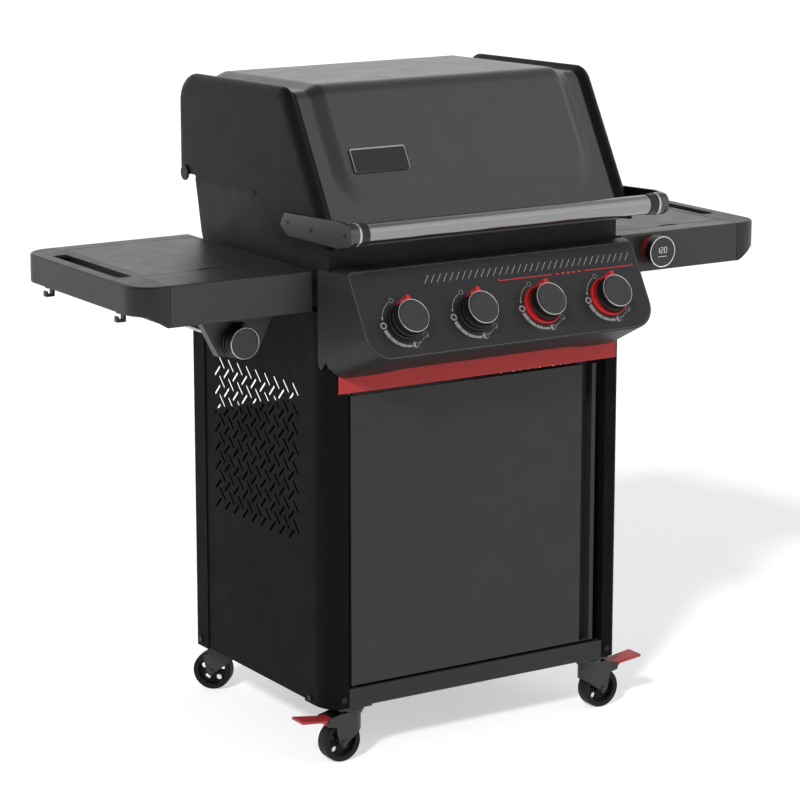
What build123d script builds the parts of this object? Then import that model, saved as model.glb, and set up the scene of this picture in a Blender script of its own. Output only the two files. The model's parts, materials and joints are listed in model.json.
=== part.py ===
"""Gas barbecue grill on a wheeled cabinet, in millimetres.

Drawn about the middle of the cabinet: +X to the right as the cook stands, -Y towards
the cook, +Z up, floor at z = 0.  Export moves everything along Y so that the origin lies
under the middle of the bounding box.
"""

import os
from math import atan2, cos, hypot, pi, radians, sin, tan

from build123d import *

# ---------------------------------------------------------------- driving dimensions
FRONTMOST_Y = -374.445
REARMOST_Y = 302.326
ORIGIN_SHIFT_Y = -(FRONTMOST_Y + REARMOST_Y) / 2

SHEET = 1.5
FIT = 0.08
GAP = 0.5

# cabinet
CAB_HALF_X = 324.0
CAB_FRONT_Y = -242.0
CAB_REAR_Y = 247.0
CAB_BOTTOM_Z = 102.0
CAB_TOP_Z = 826.0
POST_FACE_X = 303.0
POST_INNER_X = 279.0
POST_BEND_Y = -197.0
POST_SIDE_END_Y = -160.0
POST_NOTCH_Z = 744.0
REAR_POST_SIDE_Y = 200.0
RAIL_TOP_Z = 137.0
BAR_BOTTOM_Z = 681.0
BAR_TOP_Z = 742.0
REAR_PANEL_TOP_Z = 560.0

# perforated field on each side panel
SLOT_LENGTH = 29.0
SLOT_WIDTH = 5.0
SLOT_PITCH_Y = 33.6
SLOT_PITCH_Z = 36.0
SLOT_COLUMNS = 9
SLOT_ROWS = 8
SLOT_FIELD_Y = 12.0
SLOT_FIELD_Z = 538.0

# door
DOOR_LEFT_X = -273.0
DOOR_RIGHT_X = 259.0
DOOR_LIP_WIDTH = 9.0
DOOR_GRIP_WIDTH = 22.0
DOOR_BOTTOM_Z = 142.0
DOOR_TOP_Z = 675.0
DOOR_FRONT_Y = -240.0
DOOR_THICK = 20.0
DOOR_PIVOT_X = -265.0
DOOR_PIVOT_Y = -232.0
DOOR_PIN_R = 3.0

# hood, in side view: slope leans back from the vertical by HOOD_LEAN
HOOD_HALF_X = 330.0
HOOD_CAP_X = 302.0
HOOD_TOP_Z = 1208.0
HOOD_REAR_TOP_Z = 1198.0
HOOD_REAR_Y = 281.0
HOOD_REAR_Z = 1016.0
HOOD_RIDGE_Y = -109.2
HOOD_BOTTOM_Z = 942.0
HOOD_LEAN = 30.0
HOOD_SKIRT_REAR_Z = 1014.0
HOOD_RIDGE_R = 38.0
HOOD_REAR_R = 55.0
HOOD_SHEET = 2.0
SHOULDER_DROP = 5.0
PANEL_LIFT = 2.0
BEVEL_OUT_X = 282.0
BEVEL_IN_X = 262.0
BEVEL_LOW_Z = 1007.0
BEVEL_HIGH_Z = 1045.0
BADGE_X = -178.5
BADGE_Z = 1080.5
BADGE_WIDTH = 114.0
BADGE_HEIGHT = 46.0
BADGE_THICK = 2.5
HINGE_Y = 250.0
HINGE_Z = 1014.5
HINGE_PIN_R = 4.0
HINGE_HEAD_R = 14.0

# hood handle
HANDLE_Y = -330.0
HANDLE_Z = 979.0
HANDLE_R = 17.5
HANDLE_HALF_X = 322.0
BRACKET_X = 337.0

# control panel: its front leans back by FASCIA_LEAN, knob axes stand square to it
FASCIA_LEAN = 30.0
FASCIA_Y = -329.5
FASCIA_Z = 817.2
FASCIA_HALF_X = 305.0
FASCIA_TOP = 101.0
FASCIA_BOTTOM = -65.0
FASCIA_WALL = 4.0
HOUSING_HALF_X = 330.0
HOUSING_REAR_Y = -224.0
HOUSING_TOP_Z = 906.0
HOUSING_BOTTOM_Z = 700.0
HOUSING_LIFT_Z = 718.0
FASCIA_RADII = [10, 46, 46, 10]
HOUSING_RADII = [12, 46, 46, 12]
KNOB_PITCH = 144.9
KNOB_COUNT = 4
KNOB_R = 31.0
KNOB_FACE = 34.0
KNOB_BASE = 12.0
KNOB_FLANGE_R = 32.4
STEM_R = 4.0
BEZEL_R = 32.4
RED_BEZEL_R = 37.0
BEZEL_HEIGHT = 8.0

# side tables
TABLE_TOP_Z = 900.0
TABLE_BOTTOM_Z = 828.0
TABLE_INNER_X = 331.5
TABLE_SEAM_X = 609.0
TABLE_END_X = 672.0
TABLE_FRONT_Y = -208.0
TABLE_REAR_Y = 247.0
TABLE_WALL = 2.5
TABLE_CORNER_R = 52.0
TABLE_EDGE_R = 4.0
GROOVE_INSET = 5.0
GROOVE_WIDTH = 1.5
GROOVE_DEPTH = 2.0
SKIRT_RISE_X = (615.0, 650.0)
SKIRT_END_Z = 849.0
HOOK_Y = (-126.0, 150.0)
LID_THICK = 12.0
LEFT_LID = (-602.0, -344.0, -98.0, 210.0)
RIGHT_INSERT = (344.0, 604.0, -156.0, 210.0)
LID_GAP = 1.5
LEDGE_WIDTH = 8.0
LEDGE_THICK = 2.5
END_SLOT = (620.0, 648.0, -90.0, 165.0)
LID_PIVOT_DROP = 4.0
LID_PIVOT_BACK = 6.0
LID_PIN_R = 2.0
LID_HEEL_R = 7.0

# side burner and its control
SIDE_X = -457.0
SIDE_KNOB_Z = 782.0
SIDE_PLATE_Y = -162.0
SIDE_BURNER_X = -475.0
SIDE_BURNER_Y = 38.0

# round temperature controller on the right table's front
CONTROLLER_X = 408.0
CONTROLLER_Z = 868.5
CONTROLLER_FACE_Y = -240.0
CONTROLLER_R = 29.0

# gas train, cookbox and what is in it
INLET_R = 7.94
INLET_LENGTH = 14.0
INLET_X = 250.0
INLET_Y = -178.0
INLET_Z = 660.0
DROP_Y = -203.0
MANIFOLD_DEPTH = 83.6
MANIFOLD_R = 9.5
BRANCH_Y = 30.0
BRANCH_Z = 778.0
COOKBOX_HALF_X = 308.0
COOKBOX_WALL = 4.0
BURNER_Z = 838.0
BURNER_R = 12.5
BURNER_START_Y = -248.0
BURNER_LENGTH = 430.0
VALVE_REAR = 74.0
GRATE_Z = 930.0
GRATE_THICK = 12.0
TENT_FOOT_Z = 880.0
TENT_RIDGE_Z = 908.0
TENT_HALF_X = 34.0

# casters
WHEEL_R = 37.5
WHEEL_WIDTH = 28.0
CASTER_X = 264.0
CASTER_FRONT_Y = -220.0
CASTER_REAR_X = 260.0
CASTER_REAR_Y = 250.0
REAR_TURN = 45.0
CASTER_TRAIL = 24.0
FORK_HALF = 19.0
FORK_SHEET = 2.5
FORK_TOP_Z = 92.0
FORK_SADDLE_Z = 62.0
AXLE_R = 5.0
KINGPIN_R = 6.0
PEDAL_PIN_R = 2.5
PEDAL_PIVOT = 51.0
PEDAL_Z = 79.0
PEDAL_END = 111.0

# grease tray
TRAY_HALF_X = 250.0
TRAY_TOP_Z = 772.0
TRAY_DEPTH = 26.0


# ---------------------------------------------------------------- drawing helpers
def block(x, y, z):
    """Box between two corners, each argument a (low, high) pair."""
    size = [high - low for low, high in (x, y, z)]
    middle = [(high + low) / 2 for low, high in (x, y, z)]
    return Pos(*middle) * Box(*size)


def rod(start, direction, radius, length):
    """Cylinder from a point along a direction."""
    plane = Plane(origin=start, z_dir=direction)
    return extrude(plane * Circle(radius), amount=length)


def outline(points, radii=None, closed=True):
    """Wire through the points, with a tangent arc of the given radius at each corner."""
    count = len(points)
    radii = radii or [0] * count
    starts, ends, edges = [], [], []
    for i, (here, radius) in enumerate(zip(points, radii)):
        before, after = points[i - 1], points[(i + 1) % count]
        if radius <= 0:
            starts.append(here)
            ends.append(here)
            continue
        to_before = (before[0] - here[0], before[1] - here[1])
        to_after = (after[0] - here[0], after[1] - here[1])
        a = atan2(to_before[1], to_before[0])
        b = atan2(to_after[1], to_after[0])
        half = abs((a - b + pi) % (2 * pi) - pi) / 2
        reach = radius / tan(half)
        starts.append((here[0] + reach * cos(a), here[1] + reach * sin(a)))
        ends.append((here[0] + reach * cos(b), here[1] + reach * sin(b)))
        bisector = (cos(a) + cos(b), sin(a) + sin(b))
        norm = hypot(*bisector)
        depth = radius / sin(half) - radius
        middle = (here[0] + bisector[0] / norm * depth, here[1] + bisector[1] / norm * depth)
        edges.append((i, ThreePointArc(starts[i], middle, ends[i])))
    arcs = dict(edges)
    chain = []
    for i in range(count):
        if i in arcs:
            chain.append(arcs[i])
        if closed or i < count - 1:
            following = starts[(i + 1) % count]
            if hypot(following[0] - ends[i][0], following[1] - ends[i][1]) > 1e-6:
                chain.append(Line(ends[i], following))
    return Wire(chain)


def profile_x(points, x, radii=None):
    """Prism with a (y, z) outline, between two x."""
    face = make_face(Plane.YZ * outline(points, radii))
    return extrude(Pos(x[0], 0, 0) * face, amount=x[1] - x[0], dir=(1, 0, 0))


def profile_y(points, y, radii=None):
    """Prism with an (x, z) outline, between two y."""
    plane = Plane(origin=(0, y[0], 0), x_dir=(1, 0, 0), z_dir=(0, -1, 0))
    return extrude(make_face(plane * outline(points, radii)), amount=y[1] - y[0], dir=(0, 1, 0))


def profile_z(points, z, radii=None):
    """Prism with an (x, y) outline, between two z."""
    face = make_face(Plane.XY.offset(z[0]) * outline(points, radii))
    return extrude(face, amount=z[1] - z[0], dir=(0, 0, 1))


def flipped(shape):
    """The same piece on the other side of the grill."""
    return mirror(shape, about=Plane.YZ)


def pair(shape):
    """A piece and its mirror image, as two solids."""
    return group([shape, flipped(shape)])


def group(shapes):
    """Several separate solids as one node."""
    return Compound([solid for shape in shapes for solid in shape.solids()])


def fascia_point(x, along=0.0, up=0.0):
    """A point by its place on the control panel: out from it, and up its slope."""
    lean = radians(FASCIA_LEAN)
    y = FASCIA_Y - along * cos(lean) + up * sin(lean)
    z = FASCIA_Z + along * sin(lean) + up * cos(lean)
    return (x, y, z)


def fascia_plane(x, along=0.0):
    """The control panel's plane at a knob, its z pointing at the cook."""
    lean = radians(FASCIA_LEAN)
    normal = (0, -cos(lean), sin(lean))
    return Plane(origin=fascia_point(x, along), x_dir=(1, 0, 0), z_dir=normal)


def side_plane(along=0.0):
    """The side burner control's plane, its z pointing at the cook."""
    origin = (SIDE_X, SIDE_PLATE_Y - along, SIDE_KNOB_Z)
    return Plane(origin=origin, x_dir=(1, 0, 0), z_dir=(0, -1, 0))


def knob_x(index):
    """X of a burner knob, counted from the left."""
    return (index - (KNOB_COUNT - 1) / 2) * KNOB_PITCH


# ---------------------------------------------------------------- cabinet
def front_post():
    """Left front post: folded sheet with a swept outer corner."""
    bend_r = 58.7
    centre = (-CAB_HALF_X + bend_r, POST_BEND_Y)
    half_turn = radians(25)

    def bend(radius, front_y):
        start = (centre[0] - (radius**2 - (front_y - centre[1]) ** 2) ** 0.5, front_y)
        middle = (centre[0] - radius * cos(half_turn), centre[1] - radius * sin(half_turn))
        return start, middle, (centre[0] - radius, centre[1])

    outer = bend(bend_r, CAB_FRONT_Y)
    inner = bend(bend_r - SHEET, CAB_FRONT_Y + SHEET)
    flange_y = CAB_FRONT_Y + 22
    edges = [
        Line((-POST_INNER_X, flange_y), (-POST_INNER_X, CAB_FRONT_Y)),
        Line((-POST_INNER_X, CAB_FRONT_Y), outer[0]),
        ThreePointArc(*outer),
        Line(outer[2], (-CAB_HALF_X, POST_SIDE_END_Y)),
        Line((-CAB_HALF_X, POST_SIDE_END_Y), (-CAB_HALF_X + SHEET, POST_SIDE_END_Y)),
        Line((-CAB_HALF_X + SHEET, POST_SIDE_END_Y), inner[2]),
        ThreePointArc(*reversed(inner)),
        Line(inner[0], (-POST_INNER_X - SHEET, CAB_FRONT_Y + SHEET)),
        Line((-POST_INNER_X - SHEET, CAB_FRONT_Y + SHEET), (-POST_INNER_X - SHEET, flange_y)),
        Line((-POST_INNER_X - SHEET, flange_y), (-POST_INNER_X, flange_y)),
    ]
    face = make_face(Plane.XY.offset(CAB_BOTTOM_Z) * Wire(edges))
    post = extrude(face, amount=CAB_TOP_Z - CAB_BOTTOM_Z, dir=(0, 0, 1))
    behind_housing = block((-400, -200), (-300, HOUSING_REAR_Y + 1), (POST_NOTCH_Z, 900))
    return post - behind_housing


def rear_post():
    """Left rear post: folded angle."""
    side = -CAB_HALF_X
    points = [
        (side, REAR_POST_SIDE_Y),
        (side, CAB_REAR_Y),
        (side + 42, CAB_REAR_Y),
        (side + 42, CAB_REAR_Y - SHEET),
        (side + SHEET, CAB_REAR_Y - SHEET),
        (side + SHEET, REAR_POST_SIDE_Y),
    ]
    radii = [0, 6, 0, 0, 6 - SHEET, 0]
    return profile_z(points, (CAB_BOTTOM_Z, CAB_TOP_Z), radii)


def side_panel(sign):
    """Perforated side sheet, tucked just inside the posts."""
    x_out = CAB_HALF_X - SHEET - GAP
    y_low, y_high = POST_SIDE_END_Y - 12, REAR_POST_SIDE_Y + 12
    z_low, z_high = CAB_BOTTOM_Z + 4, CAB_TOP_Z
    plane = Plane(origin=(sign * x_out, 0, 0), x_dir=(0, 1, 0), z_dir=(1, 0, 0))
    sheet = Pos((y_low + y_high) / 2, (z_low + z_high) / 2) * Rectangle(
        y_high - y_low, z_high - z_low
    )
    slots = []
    for column in range(SLOT_COLUMNS):
        for row in range(SLOT_ROWS):
            y = SLOT_FIELD_Y + (column - (SLOT_COLUMNS - 1) / 2) * SLOT_PITCH_Y
            z = SLOT_FIELD_Z + (row - (SLOT_ROWS - 1) / 2) * SLOT_PITCH_Z
            for turn, shift in ((45, 0.25), (-45, -0.25)):
                place = Pos(y - 2 * shift * SLOT_PITCH_Y / 2, z + shift * SLOT_PITCH_Z)
                slots.append(place * Rot(0, 0, turn) * SlotOverall(SLOT_LENGTH, SLOT_WIDTH))
    sheet = sheet - slots
    panel = extrude(plane * sheet, amount=SHEET * (-sign), dir=(1, 0, 0))
    if sign < 0:
        pipe_hole = rod((-CAB_HALF_X - 5, BRANCH_Y, BRANCH_Z), (1, 0, 0), 8, 20)
        panel = panel - pipe_hole
    return panel


def bottom_panel():
    """Floor of the cabinet with upturned edges."""
    x = CAB_HALF_X - 2 * SHEET - 2 * GAP
    front, rear = -220.0, CAB_REAR_Y - SHEET - 6
    z = CAB_BOTTOM_Z + 2
    tray = block((-x, x), (front, rear), (z, z + 16))
    hollow = block((-x + SHEET, x - SHEET), (front + SHEET, rear - SHEET), (z + SHEET, z + 20))
    corner = block((-x - 1, -x + 46), (front - 1, front + 14), (z - 1, z + 20))
    return tray - hollow - corner - flipped(corner)


def bottom_front_rail():
    """Channel across the front under the door, with a pressed stiffening bead."""
    half = POST_INNER_X - GAP
    y = (CAB_FRONT_Y, CAB_FRONT_Y + 20)
    z = (CAB_BOTTOM_Z, RAIL_TOP_Z)
    rail = block((-half, half), y, z)
    hollow = block((-half - 1, half + 1), (y[0] + SHEET, y[1] + 1), (z[0] + SHEET, z[1] - SHEET))
    bead = Plane(origin=(0, y[0], 119), x_dir=(1, 0, 0), z_dir=(0, -1, 0))
    pressed = extrude(bead * SlotOverall(2 * half - 30, 10), amount=-0.6)
    ear = pivot_ear(RAIL_TOP_Z - SHEET)
    return rail - hollow - pressed - ear_hole(ear)


def pivot_ear(z):
    """Where a door pin passes through a horizontal sheet."""
    return (DOOR_PIVOT_X, DOOR_PIVOT_Y, z)


def ear_hole(place):
    """Running hole for a door pin."""
    return rod((place[0], place[1], place[2] - 1), (0, 0, 1), DOOR_PIN_R + FIT, SHEET + 2)


def red_crossbar():
    """Painted bar across the cabinet above the door."""
    half = POST_FACE_X - 3
    front = CAB_FRONT_Y - 2.5
    points = [
        (front, BAR_BOTTOM_Z),
        (CAB_FRONT_Y + 26, BAR_BOTTOM_Z),
        (CAB_FRONT_Y + 26, BAR_BOTTOM_Z + SHEET),
        (front + SHEET, BAR_BOTTOM_Z + SHEET),
        (front + SHEET, BAR_TOP_Z),
        (front, BAR_TOP_Z),
    ]
    face = profile_x(points, (-half, half), [3, 0, 0, 1.5, 0, 0])
    clear = POST_INNER_X - GAP
    notch = block((-half - 1, -clear), (CAB_FRONT_Y - GAP, 0), (BAR_BOTTOM_Z - 1, BAR_TOP_Z + 1))
    face = face - notch - flipped(notch)
    return face - ear_hole(pivot_ear(BAR_BOTTOM_Z))


def rear_panel():
    """Lower rear sheet, and the tie bar across the open upper rear."""
    half = CAB_HALF_X - 42 + 8
    y = (CAB_REAR_Y - 2 * SHEET - GAP, CAB_REAR_Y - SHEET - GAP)
    sheet = block((-half, half), y, (CAB_BOTTOM_Z + 24, REAR_PANEL_TOP_Z))
    fold = block((-half, half), (y[0] - 14, y[0]), (REAR_PANEL_TOP_Z - SHEET, REAR_PANEL_TOP_Z))
    bar = block((-half, half), (y[0] - 18, y[1]), (CAB_TOP_Z - 40, CAB_TOP_Z - 8))
    inside = (CAB_TOP_Z - 40 + SHEET, CAB_TOP_Z - 8 - SHEET)
    cut = block((-half - 1, half + 1), (y[0] - 19, y[0]), inside)
    return group([sheet + fold, bar - cut])


def bolt(place, direction):
    """Button-head screw."""
    return rod(place, direction, 6, 2.6)


def cart_bolts():
    """Screw heads at the feet of the posts."""
    heads = []
    for x in (-291, 291):
        heads.append(bolt((x, CAB_FRONT_Y, 119), (0, -1, 0)))
    for sign in (-1, 1):
        for y, z in ((-180, 112), (228, 116)):
            heads.append(bolt((sign * CAB_HALF_X, y, z), (sign, 0, 0)))
    for x in (-303, 303):
        heads.append(bolt((x, CAB_REAR_Y, 119), (0, 1, 0)))
    return group(heads)


# ---------------------------------------------------------------- door
def door_panel():
    """Sheet-metal door with a vertical grip recess, and its two pivot pins."""
    y = (DOOR_FRONT_Y, DOOR_FRONT_Y + DOOR_THICK)
    slab = block((DOOR_LEFT_X, DOOR_RIGHT_X), y, (DOOR_BOTTOM_Z, DOOR_TOP_Z))
    inner = block(
        (DOOR_LEFT_X + 3, DOOR_RIGHT_X - DOOR_LIP_WIDTH - DOOR_GRIP_WIDTH - 3),
        (y[0] + SHEET, y[1] + 1),
        (DOOR_BOTTOM_Z + SHEET, DOOR_TOP_Z - SHEET),
    )
    boss = block(
        (DOOR_LEFT_X, DOOR_PIVOT_X + 8),
        (y[0], DOOR_PIVOT_Y + 8),
        (DOOR_BOTTOM_Z, DOOR_TOP_Z),
    )
    grip = block(
        (DOOR_RIGHT_X - DOOR_LIP_WIDTH - DOOR_GRIP_WIDTH, DOOR_RIGHT_X - DOOR_LIP_WIDTH),
        (y[0] - 1, y[1] - SHEET),
        (DOOR_BOTTOM_Z + SHEET, DOOR_TOP_Z + 1),
    )
    lip_hollow = block(
        (DOOR_RIGHT_X - DOOR_LIP_WIDTH + SHEET, DOOR_RIGHT_X + 1),
        (y[0] + SHEET, y[1] - SHEET),
        (DOOR_BOTTOM_Z + SHEET, DOOR_TOP_Z - SHEET),
    )
    pin_z = (
        (RAIL_TOP_Z - 3, DOOR_BOTTOM_Z + 0.1),
        (DOOR_TOP_Z - 0.1, BAR_BOTTOM_Z + 5),
    )
    door = slab - (inner - boss) - grip - lip_hollow
    for low, high in pin_z:
        door = door + rod((DOOR_PIVOT_X, DOOR_PIVOT_Y, low), (0, 0, 1), DOOR_PIN_R, high - low)
    return door


# ---------------------------------------------------------------- hood
def hood_corners(front_lift, ridge_lift, rear_lift, inset=0.0):
    """Side-view corners of the hood's skin: rear foot, rear top, ridge, and two slope stations."""
    lean = radians(HOOD_LEAN)
    rear = HOOD_REAR_Y - inset
    top_rear = HOOD_REAR_TOP_Z + rear_lift - inset
    ridge_z = HOOD_TOP_Z + ridge_lift - inset

    def slope(z, lift):
        return HOOD_RIDGE_Y - (HOOD_TOP_Z - z) * tan(lean) - (lift - inset) / cos(lean)

    base = -SHOULDER_DROP
    return [
        (rear, HOOD_REAR_Z),
        (rear, top_rear),
        (slope(ridge_z, front_lift), ridge_z),
        (slope(BEVEL_HIGH_Z, front_lift), BEVEL_HIGH_Z),
        (slope(BEVEL_LOW_Z, base), BEVEL_LOW_Z),
        (slope(HOOD_BOTTOM_Z, base), HOOD_BOTTOM_Z),
    ]


def hood_section(x, lifted, inset=0.0):
    """Closed wire of the hood's cross-section at x, plain or with the raised centre panel."""
    base = -SHOULDER_DROP
    lift = PANEL_LIFT if lifted else base
    points = hood_corners(lift, lift, base, inset)
    if inset:
        points[0] = (points[0][0], HOOD_REAR_Z - 30)
        lean_y = points[5][0] - 30 * tan(radians(HOOD_LEAN))
        points[5] = (lean_y, HOOD_BOTTOM_Z - 30)
    radii = [0, HOOD_REAR_R - inset, HOOD_RIDGE_R - inset, 0, 0, 0]
    wire = Plane.YZ * outline(points, radii)
    return Pos(x, 0, 0) * wire


def hood_blank(inset=0.0):
    """The shroud as a full block: plain ends, ramps, and the raised middle."""
    out = 1.0 if inset else 0.0
    end = HOOD_CAP_X - GAP + out
    xs = (-end, -BEVEL_OUT_X, -BEVEL_IN_X, BEVEL_IN_X, BEVEL_OUT_X, end)
    lifted = (False, False, True, True, False, False)
    wires = [hood_section(x, lift, inset) for x, lift in zip(xs, lifted)]
    whole = None
    for near, far in zip(wires, wires[1:]):
        piece = Solid.make_loft([near, far], ruled=True)
        whole = piece if whole is None else whole + piece
    return whole


def hood_shroud():
    """Centre skin of the hood, open underneath."""
    return hood_blank() - hood_blank(HOOD_SHEET)


def cap_outline(inset=0.0):
    """Side view of an end cap, with its stepped lower edge."""
    corners = hood_corners(0, 0, 0, inset)
    rear_foot, rear_top, ridge = corners[:3]
    lean = tan(radians(HOOD_LEAN))
    foot_y = HOOD_RIDGE_Y - (HOOD_TOP_Z - HOOD_BOTTOM_Z) * lean + inset / cos(radians(HOOD_LEAN))
    foot = (foot_y, HOOD_BOTTOM_Z)
    low = -40 if inset else 0
    points = [
        (rear_foot[0], HOOD_SKIRT_REAR_Z + low),
        rear_top,
        ridge,
        (foot[0] + low * lean, foot[1] + low),
        (-84, HOOD_BOTTOM_Z - 4 + low),
        (-12, HOOD_SKIRT_REAR_Z + 3 + low),
    ]
    radii = [0, HOOD_REAR_R - inset, HOOD_RIDGE_R - inset, 0, 28, 34]
    return points, radii


def cap_block(inset, x_out):
    """End cap as a full block with its broad outer chamfer."""
    points, radii = cap_outline(inset)
    cap = profile_x(points, (-x_out, -HOOD_CAP_X), radii)
    rim = cap.edges().filter_by(lambda e: abs(e.center().X + x_out) < 0.01)
    floor = HOOD_SKIRT_REAR_Z + 4

    def is_rim(edge):
        middle = edge.center()
        if middle.Y > 200 or middle.Z > 1100:
            return middle.Z > floor
        return middle.Y < -130 and middle.Z > HOOD_BOTTOM_Z + 2

    rim = rim.filter_by(is_rim)
    return chamfer(rim, 7, 22)


def hood_end_cap():
    """Cast left end cap: rounded rim, flat side with a stepped skirt, hinge boss."""
    cap = cap_block(0, HOOD_HALF_X)
    hollow = cap_block(3, HOOD_HALF_X - 3)
    hollow = hollow + Pos(6, 0, 0) * cap_block(3, HOOD_HALF_X - 3)
    cap = cap - hollow
    boss = rod((-HOOD_HALF_X, HINGE_Y, HINGE_Z), (1, 0, 0), 11.5, 6)
    hole = rod((-HOOD_HALF_X - 1, HINGE_Y, HINGE_Z), (1, 0, 0), HINGE_PIN_R + 0.01, 20)
    return cap + boss - hole


def hood_hinge_pins():
    """Headed pins the hood turns on."""
    head = rod((-HOOD_HALF_X - 4, HINGE_Y, HINGE_Z), (1, 0, 0), HINGE_HEAD_R, 4)
    shank = rod((-HOOD_HALF_X, HINGE_Y, HINGE_Z), (1, 0, 0), HINGE_PIN_R, 30)
    return pair(head + shank)


def handle_tube():
    """Polished tube between the brackets."""
    tube = rod((-HANDLE_HALF_X, HANDLE_Y, HANDLE_Z), (1, 0, 0), HANDLE_R, 2 * HANDLE_HALF_X)
    inside = HANDLE_R - SHEET
    bore = rod((-HANDLE_HALF_X - 1, HANDLE_Y, HANDLE_Z), (1, 0, 0), inside, 2 * HANDLE_HALF_X + 2)
    return tube - bore


def handle_bracket():
    """Left handle arm: blade from the cap's side out to the tube, with a socket ring."""
    x = (-BRACKET_X, -HOOD_HALF_X - 1)
    points = [
        (-108, 969),
        (-124, 991),
        (-308, 1000),
        (-349, 996),
        (-349, 962),
        (-300, 953),
        (-136, 952),
    ]
    blade = profile_x(points, x, [3, 4, 10, 17, 14, 12, 10])
    pad = block((-HOOD_HALF_X - 1, -HOOD_HALF_X), (-190, -136), (960, 984))
    ring = rod((-HOOD_HALF_X - 1, HANDLE_Y, HANDLE_Z), (1, 0, 0), HANDLE_R + 2, 16)
    seat = rod((-HANDLE_HALF_X, HANDLE_Y, HANDLE_Z), (1, 0, 0), HANDLE_R, 10)
    return blade + pad + ring - seat


def badge_plate():
    """Blank plate on the slope."""
    lean = radians(HOOD_LEAN)
    y = HOOD_RIDGE_Y - (HOOD_TOP_Z - BADGE_Z) * tan(lean) - PANEL_LIFT / cos(lean)
    plane = Plane(origin=(BADGE_X, y, BADGE_Z), x_dir=(1, 0, 0), z_dir=(0, -cos(lean), sin(lean)))
    return extrude(plane * RectangleRounded(BADGE_WIDTH, BADGE_HEIGHT, 4), amount=BADGE_THICK)


# ---------------------------------------------------------------- control panel
def fascia_front(inset=0.0):
    """Outline of the control panel's leaning front."""
    half, top, low = FASCIA_HALF_X - inset, FASCIA_TOP - inset, FASCIA_BOTTOM + inset
    return outline([(-half, top), (-half, low), (half, low), (half, top)], FASCIA_RADII)


def fascia_back(y, inset=0.0):
    """Outline of the control panel where it ends beside the cabinet, upright at y."""
    half, top, low = HOUSING_HALF_X - inset, HOUSING_TOP_Z - inset, HOUSING_BOTTOM_Z + inset
    plane = Plane(origin=(0, y, 0), x_dir=(1, 0, 0), z_dir=(0, -1, 0))
    return plane * outline([(-half, top), (-half, low), (half, low), (half, top)], HOUSING_RADII)


def control_housing():
    """Moulded control panel: leaning front, swept wings, and a raised middle underneath."""
    near = fascia_plane(0) * fascia_front()
    shell = Solid.make_loft([near, fascia_back(HOUSING_REAR_Y)], ruled=True)
    inner_near = fascia_plane(0, -FASCIA_WALL) * fascia_front(FASCIA_WALL)
    inner_far = fascia_back(HOUSING_REAR_Y + 6, FASCIA_WALL)
    shell = shell - Solid.make_loft([inner_near, inner_far], ruled=True)
    low, high = HOUSING_BOTTOM_Z - 10, HOUSING_LIFT_Z
    middle = profile_y([(-300, low), (-180, high), (180, high), (300, low)], (-400, -200), [0, 40, 40, 0])
    cabinet = block((-318, 318), (CAB_FRONT_Y - 4, -200), (600, 1000))
    corners = (-CAB_HALF_X - GAP, CAB_HALF_X + GAP)
    posts = block(corners, (CAB_FRONT_Y - GAP, -200), (600, POST_NOTCH_Z + 1))
    shell = shell - middle - cabinet - posts
    for i in range(KNOB_COUNT):
        shell = shell - extrude(fascia_plane(knob_x(i), -20) * Circle(STEM_R + 3), amount=60)
    return shell


def bezel(plane, radius):
    """Ring round a knob's stem, flat on the panel."""
    ring = extrude(plane * Circle(radius), amount=BEZEL_HEIGHT, taper=10)
    return ring - extrude(plane.offset(-1) * Circle(7), amount=BEZEL_HEIGHT + 2)


def knob(plane):
    """Round knob with a skirt, a pointer on its rim and a blind bore for the stem."""
    skirt = extrude(plane.offset(KNOB_BASE) * Circle(KNOB_FLANGE_R), amount=4)
    body = extrude(plane.offset(KNOB_BASE) * Circle(KNOB_R), amount=KNOB_FACE - KNOB_BASE)
    pointer_face = Pos(0, KNOB_R + 1) * Rectangle(5, 8)
    pointer = extrude(plane.offset(KNOB_BASE) * pointer_face, amount=16)
    bore = extrude(plane.offset(KNOB_BASE - 1) * Circle(STEM_R + FIT), amount=14)
    return skirt + body + pointer - bore


def stem(plane):
    """Valve stem that carries a knob and moves in with it."""
    return extrude(plane.offset(-38) * Circle(STEM_R), amount=38 + KNOB_BASE + 12)


def valve(plane):
    """Gas valve behind a knob, bored for its stem."""
    body = extrude(plane.offset(-VALVE_REAR) * RectangleRounded(26, 26, 4), amount=VALVE_REAR - 28)
    bore = extrude(plane.offset(-46) * Circle(STEM_R + FIT), amount=30)
    return body - bore


# ---------------------------------------------------------------- gas train and cookbox
def burner_valves():
    """Four panel valves with their spuds, and the side burner's valve."""
    shapes = []
    for i in range(KNOB_COUNT):
        x = knob_x(i)
        foot_y, foot_z = fascia_point(x, -66, 8)[1:]
        riser = rod((x, foot_y, foot_z), (0, 0, 1), 6, BURNER_Z - foot_z + 6)
        spud = rod((x, foot_y, BURNER_Z), (0, 1, 0), 5, BURNER_START_Y + 6 - foot_y)
        shapes.append(valve(fascia_plane(x)) + riser + spud)
    side_riser = rod((SIDE_X, SIDE_PLATE_Y + 62, SIDE_KNOB_Z), (0, 0, 1), 6, 28)
    shapes.append(valve(side_plane()) + side_riser)
    return group(shapes)


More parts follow.
